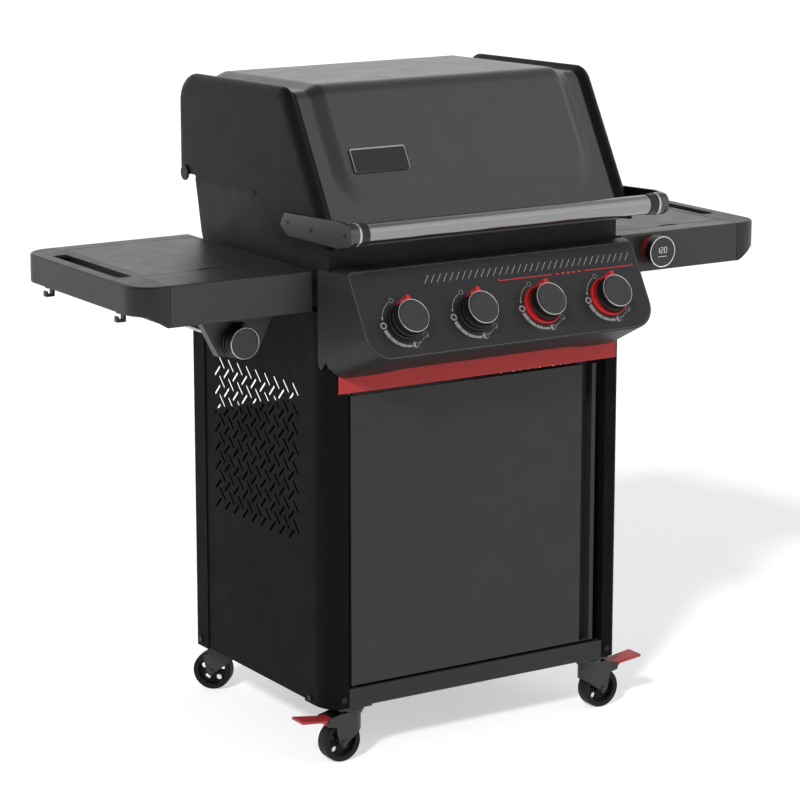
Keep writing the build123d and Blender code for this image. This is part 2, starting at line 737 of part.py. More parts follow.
def gas_manifold():
    """Supply pipe behind the valves, the drop to its threaded inlet, and the side burner's branch."""
    y, z = fascia_point(0, -MANIFOLD_DEPTH)[1:]
    half = 290.0
    pipe = rod((-half, y, z), (1, 0, 0), MANIFOLD_R, 2 * half)
    side_y = SIDE_PLATE_Y + VALVE_REAR
    branch_points = [
        (-half + 5, y, BRANCH_Z),
        (-half + 5, BRANCH_Y, BRANCH_Z),
        (SIDE_X, BRANCH_Y, BRANCH_Z),
        (SIDE_X, side_y, BRANCH_Z),
    ]
    drop_points = [
        (INLET_X, y, z),
        (INLET_X, DROP_Y, z),
        (INLET_X, DROP_Y, INLET_Z),
        (INLET_X, INLET_Y, INLET_Z),
    ]
    pipe = pipe + tube_along(branch_points, 4, 14) + tube_along(drop_points, 6, 10)
    nut_plane = Plane(origin=(INLET_X, INLET_Y - 8, INLET_Z), z_dir=(0, 1, 0))
    nut = extrude(nut_plane * RegularPolygon(12, 6), amount=8)
    inlet = rod((INLET_X, INLET_Y, INLET_Z), (0, 1, 0), INLET_R, INLET_LENGTH)
    return pipe + nut + inlet


def tube_along(points, radius, bend):
    """Round bar along straight runs with equal bends."""
    path = FilletPolyline(*points, radius=bend)
    return sweep(Plane(origin=path @ 0, z_dir=path % 0) * Circle(radius), path=path)


def cookbox_points(inset=0.0, open_top=False):
    """Side view of the cast firebox, tapering downwards."""
    front, rear = -228 + inset, 254 - inset
    points = [
        (front, 945),
        (front, 862),
        (-205 + inset, 790 + inset),
        (193 - inset, 790 + inset),
        (233 - inset, 905),
        (rear, 1000),
        (rear - 3, 1012),
        (-60, 1012),
        (-150, 945),
    ]
    if open_top:
        return points[:6] + [(rear, 1100), (front, 1100)]
    return points


def cookbox():
    """Cast firebox: open top, drain slot below, ledges for the grates, hinge ears."""
    box = profile_x(cookbox_points(), (-COOKBOX_HALF_X, COOKBOX_HALF_X))
    inner = COOKBOX_HALF_X - COOKBOX_WALL
    box = box - profile_x(cookbox_points(COOKBOX_WALL, True), (-inner, inner))
    box = box - block((-200, 200), (-50, 50), (780, 800))
    ledge_z, tent_z = (GRATE_Z - 6, GRATE_Z), (TENT_FOOT_Z - 4, TENT_FOOT_Z)
    ledges = [((-226, -212), ledge_z), ((216, 236), ledge_z), ((-226, -208), tent_z), ((200, 222), tent_z)]
    for y, z in ledges:
        box = box + block((-inner, inner), y, z)
    for i in range(KNOB_COUNT):
        box = box - rod((knob_x(i), -240, BURNER_Z), (0, 1, 0), BURNER_R + 1.5, 40)
    ear = rod((-COOKBOX_HALF_X, HINGE_Y, HINGE_Z), (1, 0, 0), 9, 6)
    web_points = [(HINGE_Y - 9, HINGE_Z), (HINGE_Y + 1, HINGE_Z - 9), (244, 985), (225, 1005)]
    web = profile_x(web_points, (-COOKBOX_HALF_X, -COOKBOX_HALF_X + 4))
    hole = rod((-COOKBOX_HALF_X - 1, HINGE_Y, HINGE_Z), (1, 0, 0), HINGE_PIN_R + FIT, 12)
    vent = rod((-COOKBOX_HALF_X - 1, 27, 1006), (1, 0, 0), 3, 10)
    box = box + pair(ear + web).solids()
    return box - hole - flipped(hole) - vent - flipped(vent)


def burner_tubes():
    """Straight tube burners, closed at the rear."""
    tubes = []
    for i in range(KNOB_COUNT):
        start = (knob_x(i), BURNER_START_Y, BURNER_Z)
        tube = rod(start, (0, 1, 0), BURNER_R, BURNER_LENGTH)
        bore = rod(start, (0, 1, 0), BURNER_R - 1.2, BURNER_LENGTH - 3)
        tubes.append(tube - bore)
    return group(tubes)


def heat_tents():
    """Roof-shaped bars above the burners."""
    tents = []
    half, wall = TENT_HALF_X, 2 * SHEET
    for i in range(KNOB_COUNT):
        x = knob_x(i)
        points = [
            (x - half, TENT_FOOT_Z),
            (x, TENT_RIDGE_Z),
            (x + half, TENT_FOOT_Z),
            (x + half - wall, TENT_FOOT_Z),
            (x, TENT_RIDGE_Z - wall),
            (x - half + wall, TENT_FOOT_Z),
        ]
        tents.append(profile_y(points, (-221, 212)))
    return group(tents)


def cooking_grates():
    """Two cast grates side by side."""
    width, length, bar, gap, rim = 298.0, 440.0, 8.0, 12.0, 10.0
    slots = []
    count = int((width - 2 * rim + bar) // (bar + gap))
    field = count * gap + (count - 1) * bar
    for i in range(count):
        x = -field / 2 + gap / 2 + i * (gap + bar)
        for side in (-1, 1):
            span = (length - 3 * rim) / 2
            slots.append(Pos(x, side * (span + rim) / 2) * Rectangle(gap, span))
    face = Rectangle(width, length) - slots
    grate = extrude(Plane.XY.offset(GRATE_Z) * face, amount=GRATE_THICK)
    return pair(Pos(-(width + 3) / 2, 1, 0) * grate)


def warming_rack():
    """Wire shelf standing on the firebox's rear shoulders."""
    wire, z = 5.0, 1075.0
    x_half, y_low, y_high = 292.0, 100.0, 214.0
    outer = Pos(0, (y_low + y_high) / 2) * Rectangle(2 * x_half, y_high - y_low)
    holes = []
    count = 29
    pitch = (2 * x_half - wire) / count
    for i in range(count):
        x = -x_half + wire + (i + 0.5) * pitch - wire / 2
        hole = Rectangle(pitch - wire, y_high - y_low - 2 * wire)
        holes.append(Pos(x, (y_low + y_high) / 2) * hole)
    shelf = extrude(Plane.XY.offset(z) * (outer - holes), amount=wire)
    legs = []
    for y in (y_low + 12, y_high - 12):
        leg = block((-COOKBOX_HALF_X, -x_half), (y - 3, y + 3), (z, z + wire))
        foot = block((-COOKBOX_HALF_X, -COOKBOX_HALF_X + 4), (y - 3, y + 3), (1012, z + 1))
        legs += [leg + foot, flipped(leg + foot)]
    rack = shelf
    for leg in legs:
        rack = rack + leg
    return rack


def grease_tray():
    """Shallow sloped tray under the firebox, with a removable catch pan in its middle."""
    z = (TRAY_TOP_Z - TRAY_DEPTH, TRAY_TOP_Z)
    y = (-190, 226)
    tray = block((-TRAY_HALF_X, TRAY_HALF_X), y, z)
    inside = TRAY_HALF_X - SHEET
    hollow = block((-inside, inside), (y[0] + SHEET, y[1] - SHEET), (z[0] + SHEET, z[1] + 1))
    well = block((-75, 75), (-50, 50), (z[0] - 1, z[0] + 4))
    pull = block((-60, 60), (y[1] - 0.1, y[1] + 14), (z[1] - 8, z[1] - 5))
    tray = tray - hollow - well + pull
    pan = block((-74, 74), (-49, 49), (z[0] - 22, z[0] + SHEET + 2))
    pan = pan - block((-73, 73), (-48, 48), (z[0] - 21, z[0] + 10))
    rim = block((-79, 79), (-54, 54), (z[0] + SHEET, z[0] + SHEET + 1.5))
    rim = rim - block((-73, 73), (-48, 48), (z[0], z[0] + 10))
    return group([tray, pan + rim])


def tray_rails():
    """Runners that hang from the firebox and carry the grease tray."""
    z = TRAY_TOP_Z - TRAY_DEPTH - 3
    foot = block((-TRAY_HALF_X - 6, -TRAY_HALF_X + 10), (-190, 188), (z, z + 2.6))
    wall = block((-TRAY_HALF_X - 6, -TRAY_HALF_X - 4.5), (-190, 188), (z, 790))
    return pair(foot + wall)


# ---------------------------------------------------------------- side tables
def lid_opening(rect, grow, z):
    """Block over a lid's outline, grown outwards."""
    x0, x1, y0, y1 = rect
    return block((x0 - grow, x1 + grow), (y0 - grow, y1 + grow), z)


def table(rect, left):
    """Pressed side table with a stepped well for its flush lid."""
    x = (-TABLE_SEAM_X, -TABLE_INNER_X) if left else (TABLE_INNER_X, TABLE_SEAM_X)
    y = (TABLE_FRONT_Y, TABLE_REAR_Y)
    z = (TABLE_BOTTOM_Z, TABLE_TOP_Z)
    body = block(x, y, z)
    top_edges = body.edges().filter_by(Axis.X).group_by(Axis.Z)[-1]
    body = fillet(top_edges, TABLE_EDGE_R)
    lip = 10
    under = block(
        (x[0] + TABLE_WALL, x[1] - TABLE_WALL),
        (y[0] + TABLE_WALL, y[1] - TABLE_WALL),
        (z[0] + TABLE_WALL, z[1] - TABLE_WALL),
    )
    mouth = block(
        (x[0] + TABLE_WALL, x[1] - TABLE_WALL),
        (y[0] + TABLE_WALL + lip, y[1] - TABLE_WALL - lip),
        (z[0] - 1, z[1] - TABLE_WALL),
    )
    body = body - under - mouth
    well_z = z[1] - LID_THICK - LEDGE_THICK
    wall = lid_opening(rect, LID_GAP + TABLE_WALL, (well_z, z[1] - TABLE_WALL))
    body = body + wall
    body = body - lid_opening(rect, LID_GAP, (z[1] - LID_THICK, z[1] + 1))
    body = body - lid_opening(rect, LID_GAP - LEDGE_WIDTH, (well_z - 1, z[1]))
    arm_x = (-TABLE_INNER_X, -CAB_HALF_X) if left else (CAB_HALF_X, TABLE_INNER_X)
    for arm_y in ((-190, -166), (204, 228)):
        body = body + block((arm_x[0], arm_x[1]), arm_y, (z[0] + 1, z[0] + 24))
    groove_y = y[0] + GROOVE_INSET
    groove_z = (z[1] - GROOVE_DEPTH, z[1] + 1)
    return body - block((x[0] - 1, x[1] + 1), (groove_y, groove_y + GROOVE_WIDTH), groove_z)


def left_table():
    """Left table: the lid's hinge holes are in the well's end walls."""
    body = table(LEFT_LID, True)
    pivot_y, pivot_z = lid_pivot()
    reach = LEFT_LID[1] - LEFT_LID[0] + 2 * (LID_GAP + 4)
    hole = rod((LEFT_LID[0] - LID_GAP - 4, pivot_y, pivot_z), (1, 0, 0), LID_PIN_R + FIT, reach)
    return body - hole


def lid_pivot():
    """Y and Z of the side burner lid's hinge line."""
    return LEFT_LID[3] - LID_PIVOT_BACK, TABLE_TOP_Z - LID_PIVOT_DROP


def notch(x, rect):
    """Finger scoop in a lid's front edge."""
    plane = Plane(origin=(x, rect[2], TABLE_TOP_Z), z_dir=(0, 0, 1))
    return extrude(plane * Ellipse(26, 9), amount=-6)


def side_burner_lid():
    """Flush lid over the side burner, folded down at its edges, with two hinge pins."""
    top = lid_opening(LEFT_LID, 0, (TABLE_TOP_Z - LID_THICK, TABLE_TOP_Z))
    hollow = lid_opening(LEFT_LID, -12, (TABLE_TOP_Z - LID_THICK - 1, TABLE_TOP_Z - 3))
    scoop = notch(-471, LEFT_LID)
    rear_edge = top.edges().filter_by(Axis.X).sort_by(lambda e: e.center().Z - e.center().Y)[0]
    lid = fillet(rear_edge, LID_HEEL_R) - hollow - scoop
    pivot_y, pivot_z = lid_pivot()
    for x, direction in ((LEFT_LID[0], -1), (LEFT_LID[1], 1)):
        start = (x - direction * 6, pivot_y, pivot_z)
        lid = lid + rod(start, (direction, 0, 0), LID_PIN_R, 6 + LID_GAP + 3)
    return lid


def right_table_insert():
    """Flush lift-out insert of the right table."""
    top = lid_opening(RIGHT_INSERT, 0, (TABLE_TOP_Z - LID_THICK, TABLE_TOP_Z))
    hollow = lid_opening(RIGHT_INSERT, -12, (TABLE_TOP_Z - LID_THICK - 1, TABLE_TOP_Z - 3))
    return top - hollow - notch(486, RIGHT_INSERT)


def end_cap_points(grow=0.0):
    """Plan of the left table's moulded end."""
    return [
        (-TABLE_SEAM_X - GAP, TABLE_FRONT_Y + grow),
        (-TABLE_END_X + grow, TABLE_FRONT_Y + grow),
        (-TABLE_END_X + grow, TABLE_REAR_Y - grow),
        (-TABLE_SEAM_X - GAP, TABLE_REAR_Y - grow),
    ]


def table_end_cap():
    """Moulded end of the left table: rounded corners, accessory slot, skirt rising at the end."""
    z = (TABLE_BOTTOM_Z, TABLE_TOP_Z)
    r = TABLE_CORNER_R
    cap = profile_z(end_cap_points(), z, [0, r, r, 0])
    rim = cap.edges().group_by(Axis.Z)[-1].filter_by(lambda e: e.center().X < -TABLE_SEAM_X - 2)
    cap = fillet(rim, TABLE_EDGE_R)
    cap = cap - profile_z(end_cap_points(3), (z[0] - 1, z[1] - 4), [0, r - 3, r - 3, 0])
    web_y = (TABLE_FRONT_Y + 20, TABLE_REAR_Y - 20)
    cap = cap + block((-TABLE_SEAM_X - 4, -TABLE_SEAM_X - GAP), web_y, (z[0] + 4, z[1] - 3))
    x0, x1, y0, y1 = END_SLOT
    slot_face = Pos(-(x0 + x1) / 2, (y0 + y1) / 2) * RectangleRounded(x1 - x0, y1 - y0, 7)
    cap = cap - extrude(Plane.XY.offset(z[1] - 10) * slot_face, amount=20)
    low, high = SKIRT_RISE_X
    rise = [
        (-low, z[0] - 1),
        (-low, z[0]),
        (-high, SKIRT_END_Z),
        (-TABLE_END_X - 1, SKIRT_END_Z),
        (-TABLE_END_X - 1, z[0] - 1),
    ]
    cap = cap - profile_y(rise, (TABLE_FRONT_Y - 1, TABLE_REAR_Y + 1))
    return cap - end_groove()


def end_groove():
    """Shallow groove inside the left end's front corner."""
    z = (TABLE_TOP_Z - GROOVE_DEPTH, TABLE_TOP_Z + 1)
    out, inside = GROOVE_INSET, GROOVE_INSET + GROOVE_WIDTH
    bands = []
    for grow in (out, inside):
        r = TABLE_CORNER_R - grow
        bands.append(profile_z(end_cap_points(grow), z, [0, r, r, 0]))
    front = block((-TABLE_END_X, -TABLE_SEAM_X + 1), (TABLE_FRONT_Y, END_SLOT[2] - 12), z)
    return (bands[0] - bands[1]) & front


def tool_hooks():
    """Two small hooks under the left end's skirt."""
    hooks = []
    for y in HOOK_Y:
        across = (y - 6, y + 6)
        root = block((-TABLE_END_X + 3.2, -TABLE_END_X + 17), across, (SKIRT_END_Z - 3, SKIRT_END_Z + 6))
        drop = block((-TABLE_END_X + 12, -TABLE_END_X + 17), across, (SKIRT_END_Z - 18, SKIRT_END_Z))
        foot = block((-TABLE_END_X, -TABLE_END_X + 17), across, (SKIRT_END_Z - 18, SKIRT_END_Z - 14))
        tip = block((-TABLE_END_X, -TABLE_END_X + 4), across, (SKIRT_END_Z - 18, SKIRT_END_Z - 8))
        hooks.append(root + drop + foot + tip)
    return group(hooks)


def side_burner_bowl():
    """Drip bowl hung under the lid's ledge."""
    z_top = TABLE_TOP_Z - LID_THICK - LEDGE_THICK
    z_low = TABLE_BOTTOM_Z + 12
    grow = LID_GAP - LEDGE_WIDTH - 2
    rim = lid_opening(LEFT_LID, 0, (z_top - 1.5, z_top))
    bowl = lid_opening(LEFT_LID, grow, (z_low, z_top))
    hollow = lid_opening(LEFT_LID, grow - SHEET, (z_low + SHEET, z_top + 1))
    hole = rod((SIDE_BURNER_X, SIDE_BURNER_Y, z_low - 1), (0, 0, 1), 11, 6)
    return rim + bowl - hollow - hole


def side_burner_head():
    """Round burner with a cap and a mixing tube below."""
    z = TABLE_BOTTOM_Z + 13.5
    place = (SIDE_BURNER_X, SIDE_BURNER_Y)
    neck = rod((*place, z - 14), (0, 0, 1), 10, 20)
    head = rod((*place, z + 6), (0, 0, 1), 38, 12)
    cap = rod((*place, z + 18), (0, 0, 1), 32, 5)
    elbow = rod((SIDE_BURNER_X, SIDE_BURNER_Y, z - 14), (0, -1, 0), 8, 100)
    return neck + head + cap + elbow


def side_burner_grate():
    """Cast pan support over the side burner."""
    z = (TABLE_TOP_Z - LID_THICK - LEDGE_THICK - 8, TABLE_TOP_Z - LID_THICK - 2.5)
    outer = lid_opening(LEFT_LID, -13, z)
    hole = lid_opening(LEFT_LID, -21, (z[0] - 1, z[1] + 1))
    ring = outer - hole
    x, y = SIDE_BURNER_X, SIDE_BURNER_Y
    x0, x1, y0, y1 = LEFT_LID
    bars = block((x0 + 14, x1 - 14), (y - 4, y + 4), z)
    for dx in (-60, 0, 60):
        bars = bars + block((x + dx - 4, x + dx + 4), (y0 + 14, y1 - 14), z)
    eye = rod((x, y, z[0] - 1), (0, 0, 1), 22, 12)
    return ring + bars - eye


def side_burner_bracket():
    """Shield-shaped plate under the left table that holds the side burner's valve."""
    top_z = TABLE_BOTTOM_Z - GAP
    left, right, foot_z, y = -530, -380, 756, SIDE_PLATE_Y
    foot_left, foot_right = left + 38, right - 36
    shield = [(left, top_z), (foot_left, foot_z), (foot_right, foot_z), (right, top_z)]
    plate = profile_y(shield, (y, y + 2), [0, 22, 22, 0])
    plate = plate + block((left, right), (y, y + 34), (top_z - 2, top_z))
    for side, foot, fold in ((left, foot_left, 4), (right, foot_right, -4)):
        flange = [(side, top_z), (side + fold, top_z), (foot + fold, foot_z + 2), (foot, foot_z)]
        plate = plate + profile_y(flange, (y, y + 20))
    return plate - extrude(side_plane(-10) * Circle(STEM_R + 3), amount=20)


# ---------------------------------------------------------------- controller
def controller_point(back):
    """Point on the controller's axis, a distance behind its face."""
    return (CONTROLLER_X, CONTROLLER_FACE_Y + back, CONTROLLER_Z)


def controller_housing():
    """Collar on the table's front that the dial turns on."""
    depth = TABLE_FRONT_Y - CONTROLLER_FACE_Y
    collar = rod(controller_point(18), (0, 1, 0), CONTROLLER_R - 1.5, depth - 18)
    neck = rod(controller_point(4), (0, 1, 0), 20, 15)
    bore = rod(controller_point(-1), (0, 1, 0), 16 + FIT, 14)
    return collar + neck - bore


def controller_ring():
    """Turning rim of the controller, running on the pushbutton's barrel."""
    ring = rod(controller_point(0), (0, 1, 0), CONTROLLER_R, 14)
    seat = rod(controller_point(-1), (0, 1, 0), 27 + FIT, 5)
    bore = rod(controller_point(-1), (0, 1, 0), 20 + FIT, 20)
    return ring - seat - bore


def controller_display():
    """Round display that is also a pushbutton."""
    disc = rod(controller_point(0.6), (0, 1, 0), 27, 2.2)
    barrel = rod(controller_point(2), (0, 1, 0), 16, 8)
    return disc + barrel


# ---------------------------------------------------------------- casters
def caster_plate(x, y):
    """Raceway plate fixed under a corner."""
    plate = rod((x, y, FORK_TOP_Z + 1), (0, 0, 1), 25, 5)
    pad = block((x - 34, x + 34), (y - 21, y + 21), (FORK_TOP_Z + 6, CAB_BOTTOM_Z))
    pin = rod((x, y, FORK_TOP_Z - 6), (0, 0, 1), KINGPIN_R, 8)
    return plate + pad + pin


def caster_plates():
    """Four raceway plates with their kingpins."""
    return group([caster_plate(x, y) for x, y, _, _ in CASTERS.values()])


def fork_outline(sign, brake):
    """Side view of a fork, trailing along +X or -X."""
    trail = sign * CASTER_TRAIL
    arm = sign * (PEDAL_PIVOT + 6 if brake else 30)
    return [
        (-sign * 20, FORK_TOP_Z),
        (-sign * 20, FORK_SADDLE_Z),
        (trail - sign * 9, WHEEL_R),
        (trail, WHEEL_R - 10),
        (trail + sign * 9, WHEEL_R),
        (sign * 40, 68),
        (arm, 72),
        (arm, 86),
        (sign * 30, FORK_TOP_Z),
    ]


def caster_fork(x, y, sign, turn, brake):
    """Pressed fork trailing outwards, with its axle; braked ones carry the pedal's arms."""
    inside = FORK_HALF - FORK_SHEET
    legs = Circle(FORK_HALF) + Pos(sign * 40, 0) * Rectangle(80, 2 * FORK_HALF)
    slit = Circle(inside) + Pos(sign * 40, 0) * Rectangle(84, 2 * inside)
    shape = extrude(Plane.XY.offset(20) * (legs - slit), amount=FORK_TOP_Z - 20)
    shape = shape & profile_y(fork_outline(sign, brake), (-30, 30))
    crown = Circle(FORK_HALF + 3) + Pos(sign * 10, 0) * Rectangle(24, 2 * FORK_HALF)
    shape = shape + extrude(Plane.XY.offset(FORK_TOP_Z - 4) * crown, amount=4)
    shape = shape - rod((0, 0, FORK_TOP_Z - 8), (0, 0, 1), KINGPIN_R + FIT, 12)
    axle_start = (sign * CASTER_TRAIL, -FORK_HALF - 3, WHEEL_R)
    shape = shape + rod(axle_start, (0, 1, 0), AXLE_R, 2 * FORK_HALF + 6)
    if brake:
        pivot_start = (sign * PEDAL_PIVOT, -FORK_HALF - 1, PEDAL_Z)
        shape = shape + rod(pivot_start, (0, 1, 0), PEDAL_PIN_R, 2 * FORK_HALF + 2)
    return Pos(x, y, 0) * Rot(0, 0, turn) * shape


def caster_wheel(x, y, sign, turn):
    """Wheel with spoked web, bored for its axle."""
    half = WHEEL_WIDTH / 2
    section = [
        (AXLE_R + FIT, -half),
        (11, -half),
        (11, -3),
        (27, -3),
        (27, -half + 1),
        (WHEEL_R - 1.5, -half),
        (WHEEL_R - 0.4, -half + 2),
        (WHEEL_R, 0),
        (WHEEL_R - 0.4, half - 2),
        (WHEEL_R - 1.5, half),
        (27, half - 1),
        (27, 3),
        (11, 3),
        (11, half),
        (AXLE_R + FIT, half),
    ]
    wheel = revolve(make_face(Plane.XY * outline(section)), axis=Axis.Y)
    for i in range(5):
        angle = 2 * pi * i / 5 + 0.3
        wheel = wheel - rod((19 * cos(angle), -5, 19 * sin(angle)), (0, 1, 0), 5.5, 10)
    return Pos(x, y, 0) * Rot(0, 0, turn) * Pos(sign * CASTER_TRAIL, 0, WHEEL_R) * wheel


def brake_pedal(x, y, sign):
    """Foot pedal that presses a shoe on the tyre."""
    pivot = sign * PEDAL_PIVOT
    end = sign * PEDAL_END
    half = FORK_HALF - FORK_SHEET - 0.6
    shoe_points = [
        (pivot - sign * 6, 85),
        (pivot + sign * 16, 86),
        (end, 92),
        (end, 87),
        (pivot + sign * 14, 81),
        (pivot + sign * 6, 73),
        (pivot - sign * 5, 73),
    ]
    tread_points = [
        (pivot + sign * 8, 84.4),
        (end, 92),
        (end, 87),
        (pivot + sign * 8, 81.4),
    ]
    pedal = profile_y(shoe_points, (-half, half)) + profile_y(tread_points, (-FORK_HALF, FORK_HALF))
    bore = rod((pivot, -30, PEDAL_Z), (0, 1, 0), PEDAL_PIN_R + FIT, 60)
    return Pos(x, y, 0) * (pedal - bore)


# ---------------------------------------------------------------- assembly
# each caster: kingpin x and y, the side it trails to, and how far it is swivelled
CASTERS = {
    "front_left": (-CASTER_X, CASTER_FRONT_Y, -1, 0.0),
    "front_right": (CASTER_X, CASTER_FRONT_Y, 1, 0.0),
    "rear_left": (-CASTER_REAR_X, CASTER_REAR_Y, -1, -REAR_TURN),
    "rear_right": (CASTER_REAR_X, CASTER_REAR_Y, 1, REAR_TURN),
}


def make_parts():
    """Every node by name."""
    knob_planes = [fascia_plane(knob_x(i)) for i in range(KNOB_COUNT)]
    black_bezels = [bezel(plane, BEZEL_R) for plane in [*knob_planes[:2], side_plane()]]
    red_bezels = [bezel(plane, RED_BEZEL_R) for plane in knob_planes[2:]]
    parts = {
        "bottom_panel": bottom_panel(),
        "side_panels": group([side_panel(-1), side_panel(1)]),
        "front_posts": pair(front_post()),
        "rear_posts": pair(rear_post()),
        "bottom_front_rail": bottom_front_rail(),
        "red_crossbar": red_crossbar(),
        "rear_panel": rear_panel(),
        "cart_bolts": cart_bolts(),
        "door_panel": door_panel(),
        "cookbox": group([cookbox(), tray_rails()]),
        "burner_tubes": burner_tubes(),
        "heat_tents": heat_tents(),
        "cooking_grates": cooking_grates(),
        "warming_rack": warming_rack(),
        "grease_tray": grease_tray(),
        "gas_manifold": gas_manifold(),
        "burner_valves": burner_valves(),
        "control_housing": control_housing(),
        "black_bezels": group(black_bezels),
        "red_bezels": group(red_bezels),
        "hood_shroud": hood_shroud(),
        "hood_end_caps": pair(hood_end_cap()),
        "hood_hinge_pins": hood_hinge_pins(),
        "handle_tube": handle_tube(),
        "handle_brackets": pair(handle_bracket()),
        "badge_plate": badge_plate(),
        "left_table": left_table(),
        "right_table": table(RIGHT_INSERT, False),
        "table_end_caps": pair(table_end_cap()),
        "tool_hooks": pair(tool_hooks()),
        "side_burner_lid": side_burner_lid(),
        "right_table_insert": right_table_insert(),
        "side_burner_bowl": side_burner_bowl(),
        "side_burner_head": side_burner_head(),
        "side_burner_grate": side_burner_grate(),
        "side_burner_bracket": side_burner_bracket(),
        "side_burner_stem": stem(side_plane()),
        "side_burner_knob": knob(side_plane()),
        "controller_housing": controller_housing(),
        "controller_ring": controller_ring(),
        "controller_display": controller_display(),
        "caster_plates": caster_plates(),
    }
    for i, plane in enumerate(knob_planes):
        parts[f"burner_stem_{i + 1}"] = stem(plane)
        parts[f"burner_knob_{i + 1}"] = knob(plane)
    for name, (x, y, sign, turn) in CASTERS.items():
        brake = name.startswith("front")
        parts[f"caster_fork_{name}"] = caster_fork(x, y, sign, turn, brake)
        parts[f"caster_wheel_{name}"] = caster_wheel(x, y, sign, turn)
        if brake:
            parts[f"brake_pedal_{name}"] = brake_pedal(x, y, sign)
    return parts


def main():
    """Write one STEP file for each node."""
    os.makedirs("parts", exist_ok=True)
    for name, shape in make_parts().items():
        moved = [Pos(0, ORIGIN_SHIFT_Y, 0) * solid for solid in shape.solids()]
        export_step(Compound(moved), f"parts/{name}.step")


if __name__ == "__main__":
    main()
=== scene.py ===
"""Looks of the gas barbecue grill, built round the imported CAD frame.

Everything is in metres.  Y is measured from the middle of the cabinet in the constants
below, and spot() moves it into the frame.
"""

import json
from math import cos, hypot, pi, radians, sin, tan

import bmesh
import bpy
from mathutils import Matrix, Vector


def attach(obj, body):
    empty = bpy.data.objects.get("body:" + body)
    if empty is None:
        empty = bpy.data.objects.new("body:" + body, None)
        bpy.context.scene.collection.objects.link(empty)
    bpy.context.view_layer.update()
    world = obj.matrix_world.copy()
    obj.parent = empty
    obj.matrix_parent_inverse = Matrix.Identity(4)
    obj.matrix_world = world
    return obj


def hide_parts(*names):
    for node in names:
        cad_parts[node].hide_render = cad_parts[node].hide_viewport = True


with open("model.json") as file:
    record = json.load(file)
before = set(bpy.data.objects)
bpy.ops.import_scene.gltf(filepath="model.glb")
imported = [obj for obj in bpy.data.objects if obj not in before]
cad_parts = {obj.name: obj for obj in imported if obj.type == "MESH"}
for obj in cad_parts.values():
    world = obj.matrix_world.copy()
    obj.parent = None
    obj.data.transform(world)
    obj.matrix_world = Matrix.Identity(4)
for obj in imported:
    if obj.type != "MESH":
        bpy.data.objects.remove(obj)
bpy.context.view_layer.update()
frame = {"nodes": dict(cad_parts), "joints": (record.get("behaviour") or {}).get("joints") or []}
NODES = frame["nodes"]
JOINTS = {joint["name"]: joint for joint in frame["joints"]}

# ---------------------------------------------------------------- sizes
HINGE_FROM_MIDDLE = 0.250
SHIFT_Y = JOINTS["hood_hinge"]["pos_m"][1] - HINGE_FROM_MIDDLE
MARK_HEIGHT = 0.0002
MARK_DEPTH = 0.0001

# hood
HOOD_LEAN = radians(30)
HOOD_TOP_Z = 1.208
HOOD_REAR_TOP_Z = 1.198
HOOD_REAR_Y = 0.281
HOOD_REAR_Z = 1.016
HOOD_RIDGE_Y = -0.1092
HOOD_LIP_Z = 0.968
HOOD_LIP_LEAN = radians(14)
HOOD_BOTTOM_Z = 0.942
HOOD_RIDGE_R = 0.038
HOOD_REAR_R = 0.055
HOOD_SHEET = 0.002
SEAM_X = 0.3016
SHOULDER_DROP = 0.0095
PANEL_LIFT = 0.0005
BEVEL_IN_X = 0.250
BEVEL_OUT_X = 0.276
BEVEL_LOW_Z = 1.004
BEVEL_HIGH_Z = 1.036
PANEL_CORNER = 1.2
EDGE_EASE = 0.02
HOOD_LIP_R = 0.010
HOOD_ARC_STEPS = 10
HOOD_PATH_STEP = 0.006
HOOD_SMOOTH_DEG = 60

# stations across half the hood: a coarse row in the middle, then a fine row over the bevel
COARSE_STATIONS = 8
COARSE_STEP = 0.029
FINE_STATIONS = 32
FINE_STEP = 0.0026
FINE_LEAD = 0.030
SEAM_MARGIN = 0.002
SEAM_LAST_STEP = 0.0012

# end caps: (x, how far inside the outline)
CAP_SECTION = [
    (0.3022, 0.0120),
    (0.3022, 0.0100),
    (0.3060, 0.0094),
    (0.3092, 0.0060),
    (0.3112, 0.0016),
    (0.3138, 0.0000),
    (0.3180, 0.0006),
    (0.3222, 0.0028),
    (0.3262, 0.0068),
    (0.3288, 0.0120),
    (0.3298, 0.0170),
    (0.3300, 0.0250),
]
CAP_THICK = 0.003
CAP_RIDGE_SHARE = 0.6
CAP_SMOOTH_DEG = 40
CAP_REAR_Z = 1.014
CAP_STEP_LOW = (-0.084, 0.938)
CAP_STEP_HIGH = (-0.012, 1.017)
CAP_STEP_LOW_R = 0.028
CAP_STEP_HIGH_R = 0.034

# control panel
FASCIA_HALF_X = 0.305
FASCIA_TOP = 0.101
FASCIA_BOTTOM = -0.065
FASCIA_CORNERS = (0.010, 0.046, 0.046, 0.010)
RIM_INSET = 0.0022
RIM_WIDTH = 0.0010
KNOB_TURN_OUT = 0.020
HATCH_COUNT = 34
HATCH_LEFT_X = -0.150
HATCH_RIGHT_X = 0.284
HATCH_UP = 0.0722
HATCH_HALF = 0.0075
HATCH_SLANT = 0.0060
HATCH_WIDTH = 0.0013
BRACKET_LEFT_X = -0.0015
BRACKET_RIGHT_X = 0.291
BRACKET_UP = 0.0543
BRACKET_GAP = (0.112, 0.184)
BRACKET_WIDTH = 0.0014
BRACKET_HOOK = (-0.0007, 0.0045)
DASH_COUNT = 5
DASH_HALF = 0.0030
DASH_WIDTH = 0.0028

